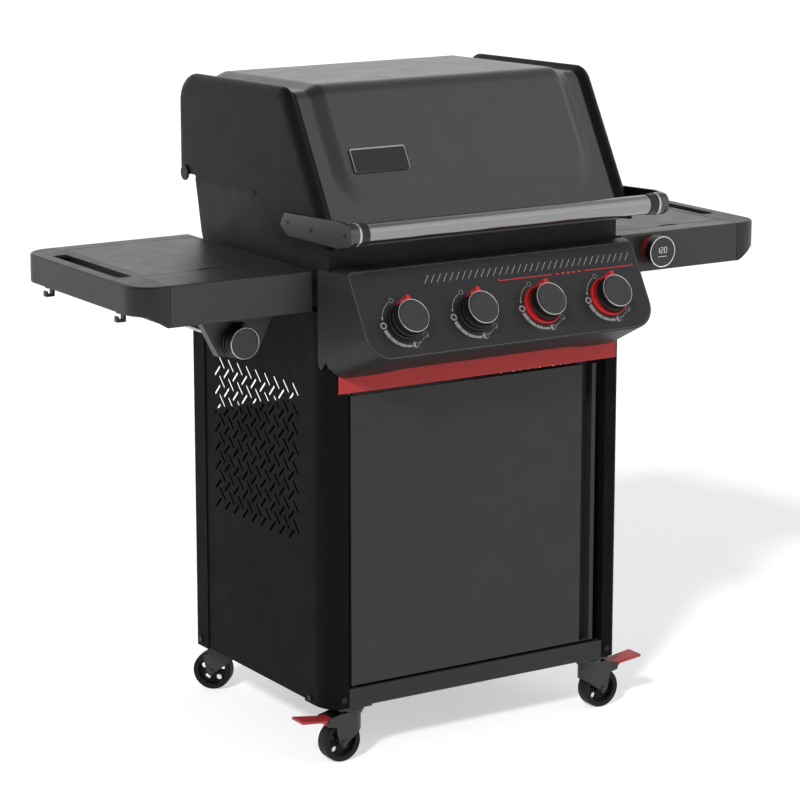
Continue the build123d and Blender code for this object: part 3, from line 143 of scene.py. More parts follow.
# flame scale round a knob: angles in degrees, anticlockwise from the right
DIAL_R = 0.0442
ARROW_ARC = (119, 166)
ARROW_LINE_HALF = 0.0006
ARROW_TIP = 171
ARROW_FOOT = 163
ARROW_HALF = 0.0026
SPARK_HOOP = (110, 0.0040, 0.0010)
HIGH_HOOP = (183, 0.0050, 0.0030)
MIDDLE_HOOP = (282, 0.0052, 0.0010)
LOW_HOOP = (322, 0.0050, 0.0010)
MIDDLE_FILL = (90, 270)
LOW_FILL = (270, 360)
LONG_SCALE = ((194, 213.5), (215, 234.5), (236, 254.5), (256, 272))
LONG_HALVES = (0.0036, 0.0005)
SHORT_SCALE = ((292, 301), (304, 312))
SHORT_HALVES = (0.0012, 0.0004)
DROP_SIZE = 0.0022
DROP_OUTLINE = ((0, 1.4), (-0.8, 0), (0, -1), (0.8, 0))

# knobs and their dishes: (radius, height over the panel)
KNOB_BODY = [
    (0.0050, 0.0120),
    (0.0312, 0.0120),
    (0.0324, 0.0130),
    (0.0324, 0.0150),
    (0.0316, 0.0164),
    (0.0308, 0.0172),
    (0.0304, 0.0190),
    (0.0302, 0.0312),
    (0.0278, 0.0318),
    (0.0050, 0.0318),
]
KNOB_RING = [
    (0.0270, 0.0315),
    (0.0305, 0.0315),
    (0.0308, 0.0322),
    (0.0306, 0.0332),
    (0.0299, 0.0338),
    (0.0293, 0.0337),
    (0.0288, 0.0332),
    (0.0286, 0.0322),
    (0.0270, 0.0320),
]
KNOB_DISC = [
    (0.0285, 0.0317),
    (0.0285, 0.0327),
    (0.0277, 0.0331),
    (0.0207, 0.0330),
    (0.0120, 0.0327),
    (0.0020, 0.0326),
]
RIB_COUNT = 44
KNOB_SIDE_R = 0.0304
RIB_LOW_R = KNOB_SIDE_R - 0.0006
RIB_HIGH_R = KNOB_SIDE_R + 0.0007
RIB_HALF = 0.0010
RIB_TIP_HALF = RIB_HALF * 0.4
RIB_HEIGHTS = (0.0185, 0.0308)
COLLAR_RADII = (0.0302, 0.0340)
COLLAR_ARC = (76, 120)
COLLAR_HEIGHTS = (0.0130, 0.0300)
POINTER_OUTLINE = ((-0.0060, 0.0296), (0.0060, 0.0296), (0.0032, 0.0388), (-0.0032, 0.0388))
POINTER_HEIGHTS = (0.0130, 0.0324)
POINTER_EDGE = 0.0006
SIDE_KNOB_SCALE = 0.92
RED_KNOBS = (3, 4)
DISH_RED_R = 0.0370
DISH_BLACK_R = 0.0340
# (how far inside the dish's radius, height), then (radius, height)
DISH_RIM = (
    (0.0000, 0.0000),
    (0.0000, 0.0058),
    (0.0008, 0.0072),
    (0.0020, 0.0078),
    (0.0032, 0.0068),
    (0.0044, 0.0040),
)
DISH_FLOOR = [(0.0250, 0.0030), (0.0240, 0.0070), (0.0070, 0.0078)]

# badge, handle ends and controller
BADGE_X = -0.1785
BADGE_Z = 1.0805
BADGE_SIZE = (0.114, 0.046)
BADGE_OUT = 0.0045
BADGE_BORDER = 0.0016
BADGE_CORNER_R = 0.003
# (radius, distance from the handle's middle)
HANDLE_COLLAR = [(0.0176, 0.298), (0.0190, 0.2985), (0.0190, 0.3140), (0.0176, 0.3145)]
HANDLE_RING = [(0.0196, 0.3148), (0.0202, 0.3153), (0.0202, 0.3190), (0.0196, 0.3195)]
BRACKET_FACE_X = 0.3370
BRACKET_SCREWS = ((-0.135, 0.975), (-0.215, 0.972), (-0.327, 0.979))
SCREW_HEAD = [(0.0046, -0.0002), (0.0046, 0.0003), (0.0040, 0.0004), (0.0020, 0.0004), (0.0016, 0.0001)]
SCREW_STEPS = 24
CONTROLLER_RING = (0.0272, 0.0288)
CONTROLLER_RECESS = 0.0006
# lit bars of each seven-segment figure
FIGURES = ("bc", "abged", "abcdef")
FIGURE_WIDE = 0.0052
FIGURE_HALF_TALL = 0.0050
FIGURE_STROKE = 0.0011
FIGURE_LEFT = -0.0125
FIGURE_LOW = -0.0020
FIGURE_PITCH = 0.0085
UNDERLINE_HALF = 0.010
UNDERLINE_UP = -0.009
UNDERLINE_WIDTH = 0.0010

# camera and studio
CAMERA_PLACE = (-2.9473, -4.6171, 1.8323)
CAMERA_AZIMUTH = radians(-32.3915)
CAMERA_ELEVATION = radians(12.7841)
CAMERA_LENS_MM = 134.8
CAMERA_SENSOR_MM = 36.0
CAMERA_FAR = 200.0
KEY_DIRECTION = (0.80, 0.62, -0.75)
KEY_STRENGTH = 2.8
KEY_WIDTH = radians(7)
FLOOR_HALF = 60
FLOOR_GREY = 0.60
FLOOR_GLOW = 0.50
SKY_STRENGTH = 1.6
LEFT_FADE = (-0.35, 0.25)
LEFT_SHARE = 0.22
BACKDROP_FADE = (0.05, 0.45)
FRONT_STOPS = ((0.0, 0.62), (0.22, 0.80), (0.40, 0.80), (0.74, 0.74), (0.88, 0.08), (1.0, 0.04))
BACK_STOPS = ((0.0, 0.72), (0.45, 0.72), (0.75, 0.25), (1.0, 0.04))

# surfaces
NOISE_RANGE = (0.3, 0.7)
DRIFT_SCALE = 7.0
GLOSS_SCALE = 23.0
COAT_GLOSS = (0.92, 1.08)
METAL_GLOSS = (0.8, 1.25)
METAL_VARIATION = 0.10
PEDAL_RED = (0.30, 0.018, 0.018)

# edges of CAD pieces
WELD_GAP = 0.00001
FLAT_DEG = 0.5
EDGE_DEG = 35.0


def spot(x, y, z):
    """Point in the frame, from a y measured from the middle of the cabinet."""
    return Vector((x, y + SHIFT_Y, z))


# ---------------------------------------------------------------- materials
def node_material(name):
    """Empty node material with its shader and object coordinates."""
    material = bpy.data.materials.new(name)
    material.use_nodes = True
    tree = material.node_tree
    shader = tree.nodes["Principled BSDF"]
    coordinates = tree.nodes.new("ShaderNodeTexCoord")
    return material, tree, shader, coordinates.outputs["Object"]


def noise(tree, vector, scale, detail=3.0, stretch=None):
    """Noise value over the object, stretched along its axes if asked."""
    if stretch:
        mapping = tree.nodes.new("ShaderNodeMapping")
        mapping.inputs["Scale"].default_value = stretch
        tree.links.new(vector, mapping.inputs["Vector"])
        vector = mapping.outputs["Vector"]
    texture = tree.nodes.new("ShaderNodeTexNoise")
    texture.inputs["Scale"].default_value = scale
    texture.inputs["Detail"].default_value = detail
    tree.links.new(vector, texture.inputs["Vector"])
    return texture.outputs["Fac"]


def spread(tree, value, low, high):
    """Maps a noise value to a range."""
    node = tree.nodes.new("ShaderNodeMapRange")
    node.inputs["From Min"].default_value = NOISE_RANGE[0]
    node.inputs["From Max"].default_value = NOISE_RANGE[1]
    node.inputs["To Min"].default_value = low
    node.inputs["To Max"].default_value = high
    tree.links.new(value, node.inputs["Value"])
    return node.outputs["Result"]


def mixed_colour(tree, value, colour, variation):
    """Colour that drifts a little with a noise value."""
    mix = tree.nodes.new("ShaderNodeMix")
    mix.data_type = "RGBA"
    dark = [channel * (1 - variation) for channel in colour]
    light = [channel * (1 + variation) for channel in colour]
    mix.inputs["A"].default_value = (*dark, 1)
    mix.inputs["B"].default_value = (*light, 1)
    tree.links.new(value, mix.inputs["Factor"])
    return mix.outputs["Result"]


def bumped(tree, shader, height, strength, distance):
    """Surface relief from a height value."""
    bump = tree.nodes.new("ShaderNodeBump")
    bump.inputs["Strength"].default_value = strength
    bump.inputs["Distance"].default_value = distance
    tree.links.new(height, bump.inputs["Height"])
    tree.links.new(bump.outputs["Normal"], shader.inputs["Normal"])


def coated(name, colour, roughness, grain=900.0, relief=0.00004, specular=0.5, variation=0.12):
    """Powder coat, paint or moulded plastic: fine grain, slow drift of colour and gloss."""
    material, tree, shader, vector = node_material(name)
    shader.inputs["Specular IOR Level"].default_value = specular
    drift = noise(tree, vector, DRIFT_SCALE)
    speckle = noise(tree, vector, grain, 2.0)
    tree.links.new(mixed_colour(tree, drift, colour, variation), shader.inputs["Base Color"])
    low, high = (roughness * factor for factor in COAT_GLOSS)
    gloss = spread(tree, noise(tree, vector, GLOSS_SCALE), low, high)
    tree.links.new(gloss, shader.inputs["Roughness"])
    bumped(tree, shader, speckle, 0.5, relief)
    return material


def metal(name, colour, roughness, brush=(1, 60, 60), relief=0.00002, scale=40.0):
    """Bare metal with fine brushing along the axis whose scale is smallest."""
    material, tree, shader, vector = node_material(name)
    shader.inputs["Metallic"].default_value = 1.0
    lines = noise(tree, vector, scale, 4.0, brush)
    tree.links.new(mixed_colour(tree, lines, colour, METAL_VARIATION), shader.inputs["Base Color"])
    low, high = (roughness * factor for factor in METAL_GLOSS)
    tree.links.new(spread(tree, lines, low, high), shader.inputs["Roughness"])
    bumped(tree, shader, lines, 0.25, relief)
    return material


def pressed_red(name):
    """Red pedal plastic with a fine grain."""
    material, tree, shader, vector = node_material(name)
    drift = noise(tree, vector, 30.0)
    tree.links.new(mixed_colour(tree, drift, PEDAL_RED, 0.15), shader.inputs["Base Color"])
    tree.links.new(spread(tree, drift, 0.42, 0.55), shader.inputs["Roughness"])
    bumped(tree, shader, noise(tree, vector, 700.0), 0.4, 0.00004)
    return material


MATERIALS = {
    "cabinet": coated("cabinet_powder_coat", (0.0035, 0.0035, 0.0037), 0.58, specular=0.05),
    "door": coated("door_powder_coat", (0.016, 0.016, 0.0164), 0.54, specular=0.34),
    "rail": coated("rail_powder_coat", (0.013, 0.013, 0.0134), 0.50, specular=0.30),
    "red": coated("red_powder_coat", (0.350, 0.027, 0.027), 0.52, specular=0.22),
    "hood": coated("hood_enamel", (0.017, 0.017, 0.0176), 0.34, grain=500.0, relief=0.00003, specular=0.58),
    "cap": coated("cap_paint", (0.0050, 0.0050, 0.0052), 0.42, specular=0.10),
    "firebox": coated("firebox_paint", [0.006] * 3, 0.55, grain=400.0, relief=0.0001, specular=0.25),
    "table": coated("table_powder_coat", (0.015, 0.015, 0.0154), 0.40, specular=0.46),
    "panel": coated("panel_plastic", (0.0105, 0.0105, 0.0109), 0.47, grain=1200.0, specular=0.32),
    "plastic": coated("black_plastic", (0.008, 0.008, 0.0084), 0.42, grain=1200.0, specular=0.36),
    "knob": coated("knob_plastic", (0.006, 0.006, 0.0063), 0.40, grain=1500.0, specular=0.25),
    "face": coated("knob_face", (0.017, 0.017, 0.0175), 0.42, grain=1500.0, specular=0.38),
    "marker_red": coated("marker_red", (0.36, 0.012, 0.012), 0.40, grain=1200.0, specular=0.32),
    "pedal": pressed_red("pedal_red"),
    "caster": coated("caster_grey", (0.016, 0.016, 0.0165), 0.38, specular=0.40),
    "rubber": coated("wheel_rubber", [0.006] * 3, 0.60, grain=700.0, relief=0.0001, specular=0.18),
    "bolt": coated("black_oxide", (0.005, 0.005, 0.005), 0.40, specular=0.22),
    "iron": coated("grate_enamel", (0.012, 0.012, 0.012), 0.36, grain=300.0, relief=0.00012),
    "display": coated("display_glass", (0.010, 0.010, 0.012), 0.12, grain=60.0, relief=0.000002),
    # lighter grey line along the panel's rim: a painted highlight on the edge, not a print colour
    "rim_highlight_paint": coated("rim_highlight_paint", (0.060, 0.060, 0.061), 0.40, specular=0.5),
    # controller barrel: its red tint is its own colour, its near-black darkness is painted shade
    "red_darkened_as_shade": coated("red_darkened_as_shade", (0.110, 0.012, 0.012), 0.40, grain=1200.0, specular=0.5),
    "print_grey": coated("print_grey", (0.19, 0.19, 0.19), 0.55, specular=0.3),
    "print_red": coated("print_red", (0.50, 0.02, 0.02), 0.5, specular=0.3),
    "print_white": coated("print_white", (0.85, 0.85, 0.85), 0.5, specular=0.3),
    "handle": metal("handle_steel", (0.27, 0.27, 0.27), 0.17, brush=(0.4, 30, 30)),
    "bracket": metal("bracket_steel", (0.090, 0.090, 0.092), 0.30, brush=(30, 1, 30)),
    "steel": metal("drawn_steel", (0.50, 0.49, 0.47), 0.38),
    "chrome": metal("chrome", (0.46, 0.46, 0.455), 0.24, brush=(1, 1, 1)),
    "border": metal("badge_border", (0.38, 0.38, 0.38), 0.45, brush=(1, 1, 1)),
    "brass": metal("brass", (0.72, 0.52, 0.25), 0.35),
    "aluminium": metal("pressed_aluminium", (0.60, 0.60, 0.60), 0.42, brush=(1, 20, 20)),
}

# CAD node: material, edge radius in metres (0 leaves the edges as they are)
FINISHES = {
    "bottom_panel": ("cabinet", 0.0),
    "side_panels": ("cabinet", 0.0),
    "front_posts": ("cabinet", 0.0004),
    "rear_posts": ("cabinet", 0.0004),
    "bottom_front_rail": ("rail", 0.0006),
    "red_crossbar": ("red", 0.0006),
    "rear_panel": ("cabinet", 0.0),
    "cart_bolts": ("bolt", 0.0010),
    "door_panel": ("door", 0.0008),
    "cookbox": ("firebox", 0.0012),
    "burner_tubes": ("steel", 0.0),
    "heat_tents": ("steel", 0.0003),
    "cooking_grates": ("iron", 0.0015),
    "warming_rack": ("steel", 0.0012),
    "grease_tray": ("aluminium", 0.0),
    "gas_manifold": ("steel", 0.0005),
    "burner_valves": ("brass", 0.0008),
    "control_housing": ("panel", 0.0035),
    "black_bezels": ("plastic", 0.0008),
    "red_bezels": ("marker_red", 0.0008),
    "hood_hinge_pins": ("bolt", 0.0012),
    "handle_tube": ("handle", 0.0),
    "handle_brackets": ("bracket", 0.0014),
    "badge_plate": ("border", 0.0005),
    "left_table": ("table", 0.0008),
    "right_table": ("table", 0.0008),
    "table_end_caps": ("plastic", 0.0008),
    "side_burner_lid": ("table", 0.0008),
    "right_table_insert": ("table", 0.0008),
    "side_burner_bowl": ("firebox", 0.0006),
    "side_burner_head": ("iron", 0.0015),
    "side_burner_grate": ("iron", 0.0012),
    "side_burner_bracket": ("table", 0.0006),
    "side_burner_stem": ("brass", 0.0003),
    # red barrel darkened to near-black as painted shade
    "controller_housing": ("red_darkened_as_shade", 0.0005),
    "controller_ring": ("plastic", 0.0006),
    "tool_hooks": ("plastic", 0.0004),
    "controller_display": ("display", 0.0004),
    "caster_plates": ("caster", 0.0006),
}


# the same for nodes whose names start alike
FAMILIES = {
    "burner_stem": ("brass", 0.0003),
    "burner_knob": ("knob", 0.0008),
    "side_burner_knob": ("knob", 0.0008),
    "caster_fork": ("caster", 0.0006),
    "caster_wheel": ("rubber", 0.0010),
    "brake_pedal": ("pedal", 0.0008),
    "hood_": ("cap", 0.0),
}


def finish_for(node):
    """Material and edge radius of a CAD node, by its name or by how its name starts."""
    if node in FINISHES:
        return FINISHES[node]
    return next(finish for start, finish in FAMILIES.items() if node.startswith(start))


def rounded_edges(piece, width):
    """Bevel on the sharp edges of a piece."""
    bevel = piece.modifiers.new("edges", "BEVEL")
    bevel.width = width
    bevel.segments = 2
    bevel.limit_method = "ANGLE"
    bevel.angle_limit = radians(EDGE_DEG)


def dress(node, piece):
    """Gives a CAD node its material, welded smooth faces and rounded edges."""
    material, edge = finish_for(node)
    piece.data.materials.clear()
    piece.data.materials.append(MATERIALS[material])
    if edge <= 0:
        return
    if "custom_normal" in piece.data.attributes:
        piece.data.attributes.remove(piece.data.attributes["custom_normal"])
    piece.data.shade_smooth()
    weld = piece.modifiers.new("weld", "WELD")
    weld.merge_threshold = WELD_GAP
    flatten = piece.modifiers.new("flatten", "DECIMATE")
    flatten.decimate_type = "DISSOLVE"
    flatten.angle_limit = radians(FLAT_DEG)
    rounded_edges(piece, edge)
    weighted = piece.modifiers.new("weighted", "WEIGHTED_NORMAL")
    weighted.keep_sharp = True


# ---------------------------------------------------------------- mesh helpers
def make_piece(name, bm, material, body, angle=EDGE_DEG, recalculate=True):
    """Object from a bmesh: smooth where its faces turn less than the angle."""
    if recalculate:
        bmesh.ops.recalc_face_normals(bm, faces=bm.faces)
    mesh = bpy.data.meshes.new(name)
    bm.to_mesh(mesh)
    bm.free()
    mesh.shade_smooth()
    mesh.set_sharp_from_angle(angle=radians(angle))
    mesh.materials.append(MATERIALS[material])
    piece = bpy.data.objects.new(name, mesh)
    bpy.context.scene.collection.objects.link(piece)
    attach(piece, body)
    return piece


def rounded(points, radii, steps=8, closed=True):
    """Outline through 2-D corner points, each radius drawn as an arc of equal steps."""
    count = len(points)
    result = []
    for i, (point, radius) in enumerate(zip(points, radii)):
        here = Vector(point)
        if radius <= 0 or (not closed and i in (0, count - 1)):
            result.append(here)
            continue
        to_before = (Vector(points[i - 1]) - here).normalized()
        to_after = (Vector(points[(i + 1) % count]) - here).normalized()
        half = to_before.angle(to_after) / 2
        centre = here + (to_before + to_after).normalized() * radius / sin(half)
        arm = here + to_before * radius / tan(half) - centre
        turn = -1 if to_before.cross(to_after) > 0 else 1
        for k in range(steps + 1):
            result.append(centre + Matrix.Rotation(turn * (pi - 2 * half) * k / steps, 2) @ arm)
    return result


def loft(rings, closed=True, cap_first=False, cap_last=False):
    """Skin between rings of equally many points."""
    bm = bmesh.new()
    rows = [[bm.verts.new(point) for point in ring] for ring in rings]
    count = len(rows[0])
    for near, far in zip(rows, rows[1:]):
        for i in range(count if closed else count - 1):
            j = (i + 1) % count
            bm.faces.new((near[i], near[j], far[j], far[i]))
    if cap_first:
        bm.faces.new(list(reversed(rows[0])))
    if cap_last:
        bm.faces.new(rows[-1])
    return bm


def ring_points(radius, height, steps):
    """Circle about the local z axis."""
    angles = [2 * pi * k / steps for k in range(steps)]
    return [Vector((radius * cos(a), radius * sin(a), height)) for a in angles]


def lathe(profile, place, steps=64, cap_first=True, cap_last=True):
    """Turned body from (radius, height) pairs, moved to a place."""
    bm = loft([ring_points(r, h, steps) for r, h in profile], True, cap_first, cap_last)
    bm.transform(place)
    return bm


def prism(outline, low, high, place):
    """Flat-sided body over a 2-D outline between two heights, moved to a place."""
    rings = [[Vector((p[0], p[1], h)) for p in outline] for h in (low, high)]
    bm = loft(rings, True, True, True)
    bm.transform(place)
    return bm


def joined(parts):
    """One bmesh from several."""
    whole = bmesh.new()
    for part in parts:
        mesh = bpy.data.meshes.new("part")
        part.to_mesh(mesh)
        part.free()
        whole.from_mesh(mesh)
        bpy.data.meshes.remove(mesh)
    return whole


def plane_at(origin, x_axis, z_axis):
    """Matrix of a local frame from its origin, its x and its z."""
    z = Vector(z_axis).normalized()
    x = Vector(x_axis).normalized()
    y = z.cross(x)
    matrix = Matrix((x, y, z)).transposed().to_4x4()
    matrix.translation = origin
    return matrix


# ---------------------------------------------------------------- hood
def slope_y(z, inset=0.0):
    """Y of the hood's front slope at a height, that far inside the outline."""
    return HOOD_RIDGE_Y - (HOOD_TOP_Z - z) * tan(HOOD_LEAN) + inset / cos(HOOD_LEAN)


def fine_path(points, step):
    """Path with points added so that no run is longer than a step."""
    result = [points[0]]
    for here, following in zip(points, points[1:]):
        pieces = max(1, int((following - here).length / step + 0.5))
        result += [here.lerp(following, (k + 1) / pieces) for k in range(pieces)]
    return result


def hood_path():
    """Side view of the hood's skin from its rear foot over the ridge to its front lip."""
    lip_y = slope_y(HOOD_LIP_Z)
    foot_y = lip_y - (HOOD_LIP_Z - HOOD_BOTTOM_Z) * tan(HOOD_LIP_LEAN)
    corners = [
        (HOOD_REAR_Y, HOOD_REAR_Z),
        (HOOD_REAR_Y, HOOD_REAR_TOP_Z),
        (slope_y(HOOD_TOP_Z), HOOD_TOP_Z),
        (lip_y, HOOD_LIP_Z),
        (foot_y, HOOD_BOTTOM_Z),
    ]
    radii = [0, HOOD_REAR_R, HOOD_RIDGE_R, HOOD_LIP_R, 0]
    outline = rounded(corners, radii, HOOD_ARC_STEPS, closed=False)
    return fine_path(outline, HOOD_PATH_STEP)


def panel_lift(x, s, s_high, s_low):
    """Height of the raised centre panel at a place on the skin, from -drop to +lift."""
    across = (abs(x) - BEVEL_IN_X) / (BEVEL_OUT_X - BEVEL_IN_X)
    down = (s - s_high) / (s_low - s_high)
    reach = hypot(max(across + PANEL_CORNER, 0), max(down + PANEL_CORNER, 0)) - PANEL_CORNER
    share = min(max(reach, 0.0), 1.0)
    eased = share - EDGE_EASE * sin(2 * pi * share)
    return PANEL_LIFT - (PANEL_LIFT + SHOULDER_DROP) * eased


def hood_stations():
    """X stations across the hood, close together on the bevels."""
    fine = [BEVEL_IN_X - FINE_LEAD + k * FINE_STEP for k in range(FINE_STATIONS)]
    fine = [x for x in fine if x < SEAM_X - SEAM_MARGIN]
    coarse = [k * COARSE_STEP for k in range(COARSE_STATIONS)]
    half = coarse + fine + [SEAM_X - SEAM_LAST_STEP, SEAM_X]
    return [-x for x in reversed(half[1:])] + half


def path_lengths(path):
    """Distance along a path at each of its points."""
    lengths = [0.0]
    for here, following in zip(path, path[1:]):
        lengths.append(lengths[-1] + (following - here).length)
    return lengths


def path_normals(path):
    """Outward direction of a path at each of its points."""
    normals = []
    for i in range(len(path)):
        tangent = path[min(i + 1, len(path) - 1)] - path[max(i - 1, 0)]
        normals.append(Vector((-tangent.y, tangent.x)).normalized() * -1)
    return normals


def hood_skin():
    """Pressed centre shell with its raised panel."""
    path = hood_path()
    lengths = path_lengths(path)
    normals = path_normals(path)
    s_high = lengths[max(i for i, p in enumerate(path) if p.y > BEVEL_HIGH_Z)]
    s_low = lengths[max(i for i, p in enumerate(path) if p.y > BEVEL_LOW_Z)]
    rings = []
    for x in hood_stations():
        ring = []
        for point, normal, s in zip(path, normals, lengths):
            moved = point + normal * panel_lift(x, s, s_high, s_low)
            ring.append(spot(x, moved.x, moved.y))
        rings.append(ring)
    bm = loft(rings, closed=False)
    skin = make_piece("hood_skin", bm, "hood", "hood", HOOD_SMOOTH_DEG, recalculate=False)
    sheet = skin.modifiers.new("sheet", "SOLIDIFY")
    sheet.thickness = HOOD_SHEET
    sheet.offset = -1
    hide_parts("hood_shroud")


def cap_ring(inset):
    """Side view of an end cap, its rear, top and slope moved in by an inset."""
    corners = [
        (HOOD_REAR_Y - inset, CAP_REAR_Z),
        (HOOD_REAR_Y - inset, HOOD_REAR_TOP_Z - inset),
        (slope_y(HOOD_TOP_Z - inset, inset), HOOD_TOP_Z - inset),
        (slope_y(HOOD_BOTTOM_Z, inset), HOOD_BOTTOM_Z),
        CAP_STEP_LOW,
        CAP_STEP_HIGH,
    ]
    ridge_r = HOOD_RIDGE_R - inset * CAP_RIDGE_SHARE
    radii = [0, HOOD_REAR_R - inset, ridge_r, 0, CAP_STEP_LOW_R, CAP_STEP_HIGH_R]
    return rounded(corners, radii, HOOD_ARC_STEPS)


def end_cap(side, sign):
    """Cast end cap with its crest, broad chamfer and stepped skirt."""
    rings = []
    for x, inset in CAP_SECTION:
        rings.append([spot(sign * x, p.x, p.y) for p in cap_ring(inset)])
    bm = loft(rings, True, False, True)
    cap = make_piece(f"hood_cap_{side}", bm, "cap", "hood", CAP_SMOOTH_DEG)
    wall = cap.modifiers.new("wall", "SOLIDIFY")
    wall.thickness = CAP_THICK
    wall.offset = -1
    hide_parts("hood_end_caps")


# ---------------------------------------------------------------- knobs
def knob_plane(joint):
    """Local frame of a knob, on the surface that it stands on."""
    outward = Vector(joint["axis"])
    origin = Vector(joint["pos_m"]) - outward * KNOB_TURN_OUT
    return plane_at(origin, (1, 0, 0), outward)


def arc_band(r_low, r_high, start, end, steps=12):
    """2-D outline of part of a ring, angles in degrees."""
    angles = [radians(start + (end - start) * k / steps) for k in range(steps + 1)]
    outer = [Vector((r_high * cos(a), r_high * sin(a))) for a in angles]
    inner = [Vector((r_low * cos(a), r_low * sin(a))) for a in reversed(angles)]
    return outer + inner


def knob_grip(place):
    """Shallow flutes round a knob's side."""
    foot_low, foot_high = Vector((RIB_LOW_R, -RIB_HALF)), Vector((RIB_LOW_R, RIB_HALF))
    tip_low, tip_high = Vector((RIB_HIGH_R, -RIB_TIP_HALF)), Vector((RIB_HIGH_R, RIB_TIP_HALF))
    rib = [foot_low, tip_low, tip_high, foot_high]
    turns = [Matrix.Rotation(2 * pi * k / RIB_COUNT, 4, "Z") for k in range(RIB_COUNT)]
    return joined([prism(rib, *RIB_HEIGHTS, place @ turn) for turn in turns])


def knob(name, body, place, marker):
    """Knob of several pieces: grip, bright ring, face and pointer."""
    grip = make_piece(f"{name}_grip", lathe(KNOB_BODY, place), "knob", body)
    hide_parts(name)
    make_piece(f"{name}_flutes", knob_grip(place), "knob", body)
    make_piece(f"{name}_ring", lathe(KNOB_RING, place, 64, False, False), "chrome", body)
    make_piece(f"{name}_face", lathe(KNOB_DISC, place), "face", body)
    pointer = prism([Vector(point) for point in POINTER_OUTLINE], *POINTER_HEIGHTS, place)
    if marker == "marker_red":
        collar = prism(arc_band(*COLLAR_RADII, *COLLAR_ARC), *COLLAR_HEIGHTS, place)
        pointer = joined([collar, pointer])
    piece = make_piece(f"{name}_pointer", pointer, marker, body)
    rounded_edges(piece, POINTER_EDGE)


def dish(name, place, material, radius):
    """Round dish with a raised rim that a knob stands in."""
    rim = [(radius - inside, height) for inside, height in DISH_RIM]
    return make_piece(name, lathe(rim + DISH_FLOOR, place), material, "cart")


def knobs():
    """All five knobs with their dishes."""
    for k in range(1, 5):
        place = knob_plane(JOINTS[f"burner_{k}_turn"])
        knob(f"burner_knob_{k}", f"knob_{k}", place, "marker_red")
        if k in RED_KNOBS:
            bezel = dish(f"dish_{k}", place, "marker_red", DISH_RED_R)
            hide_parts("red_bezels")
        else:
            bezel = dish(f"dish_{k}", place, "plastic", DISH_BLACK_R)
            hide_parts("black_bezels")
    place = knob_plane(JOINTS["side_burner_turn"]) @ Matrix.Scale(SIDE_KNOB_SCALE, 4)
    knob("side_burner_knob", "side_knob", place, "knob")
    dish("dish_side", place, "plastic", DISH_BLACK_R)


# ---------------------------------------------------------------- trim on the hood and the controller
def badge_face():
    """Dark field of the blank badge, inside its bright border."""
    out = BADGE_OUT / cos(HOOD_LEAN)
    origin = spot(BADGE_X, slope_y(BADGE_Z) - out, BADGE_Z)
    place = plane_at(origin, (1, 0, 0), (0, -cos(HOOD_LEAN), sin(HOOD_LEAN)))
    half_x, half_y = BADGE_SIZE[0] / 2 - BADGE_BORDER, BADGE_SIZE[1] / 2 - BADGE_BORDER
    corners = [(-half_x, -half_y), (half_x, -half_y), (half_x, half_y), (-half_x, half_y)]
    outline = rounded(corners, [BADGE_CORNER_R] * len(corners))
    field = prism(outline, -MARK_HEIGHT, MARK_HEIGHT, place)
    make_piece("badge_face", field, "panel", "hood")


def handle_ends():
    """Black collar and bright end ring at both ends of the handle."""
    tube = NODES["handle_tube"]
    centre = [sum(corner[axis] for corner in tube.bound_box) / len(tube.bound_box) for axis in range(3)]
    middle = tube.matrix_world @ Vector(centre)
    for side, sign in (("left", -1), ("right", 1)):
        place = plane_at((0, middle.y, middle.z), (0, 1, 0), (sign, 0, 0))
        collar = lathe(HANDLE_COLLAR, place)
        make_piece(f"handle_collar_{side}", collar, "plastic", "hood")
        make_piece(f"handle_ring_{side}", lathe(HANDLE_RING, place), "chrome", "hood")


def bracket_screws():
    """Three screw heads on the outside of each handle bracket."""
    for side, sign in (("left", -1), ("right", 1)):
        heads = []
        for y, z in BRACKET_SCREWS:
            place = plane_at(spot(sign * BRACKET_FACE_X, y, z), (0, 1, 0), (sign, 0, 0))
            heads.append(lathe(SCREW_HEAD, place, SCREW_STEPS))
        make_piece(f"bracket_screws_{side}", joined(heads), "bolt", "hood")


def digit(place, left, low, segments):
    """Seven-segment figure from the names of its lit bars."""
    right, middle, high = left + FIGURE_WIDE, low + FIGURE_HALF_TALL, low + 2 * FIGURE_HALF_TALL
    bars = {
        "a": ((left, high), (right, high)),
        "b": ((right, middle), (right, high)),
        "c": ((right, low), (right, middle)),
        "d": ((left, low), (right, low)),
        "e": ((left, low), (left, middle)),
        "f": ((left, middle), (left, high)),
        "g": ((left, middle), (right, middle)),
    }
    return [printed(strip(*bars[name], FIGURE_STROKE), place) for name in segments]


def controller_trim():
    """Light ring and generic figures on the controller's face."""
    turn = JOINTS["controller_turn"]
    outward = Vector(turn["axis"])
    origin = Vector(turn["pos_m"])
    ring = printed(arc_band(*CONTROLLER_RING, 0, 360, 64), plane_at(origin, (1, 0, 0), outward))
    make_piece("controller_light_ring", ring, "print_white", "controller_dial")
    face = plane_at(origin - outward * CONTROLLER_RECESS, (1, 0, 0), outward)
    figures = []
    for k, segments in enumerate(FIGURES):
        figures += digit(face, FIGURE_LEFT + FIGURE_PITCH * k, FIGURE_LOW, segments)
    ends = (-UNDERLINE_HALF, UNDERLINE_UP), (UNDERLINE_HALF, UNDERLINE_UP)
    figures.append(printed(strip(*ends, UNDERLINE_WIDTH), face))
    make_piece("controller_figures", joined(figures), "print_white", "controller_button")


# ---------------------------------------------------------------- printed marks and the painted rim highlight
def strip(start, end, width):
    """2-D outline of a straight stroke."""
    start, end = Vector(start), Vector(end)
    along = (end - start).normalized()
    across = Vector((-along.y, along.x)) * width / 2
    return [start - across, end - across, end + across, start + across]


def on_dial(angle, radius=DIAL_R):
    """Point on a dial, angle in degrees."""
    return (radius * cos(radians(angle)), radius * sin(radians(angle)))


def printed(outline, place, height=MARK_HEIGHT):
    """Mark that stands a hair proud of its surface."""
    return prism(outline, -MARK_DEPTH, height, place)


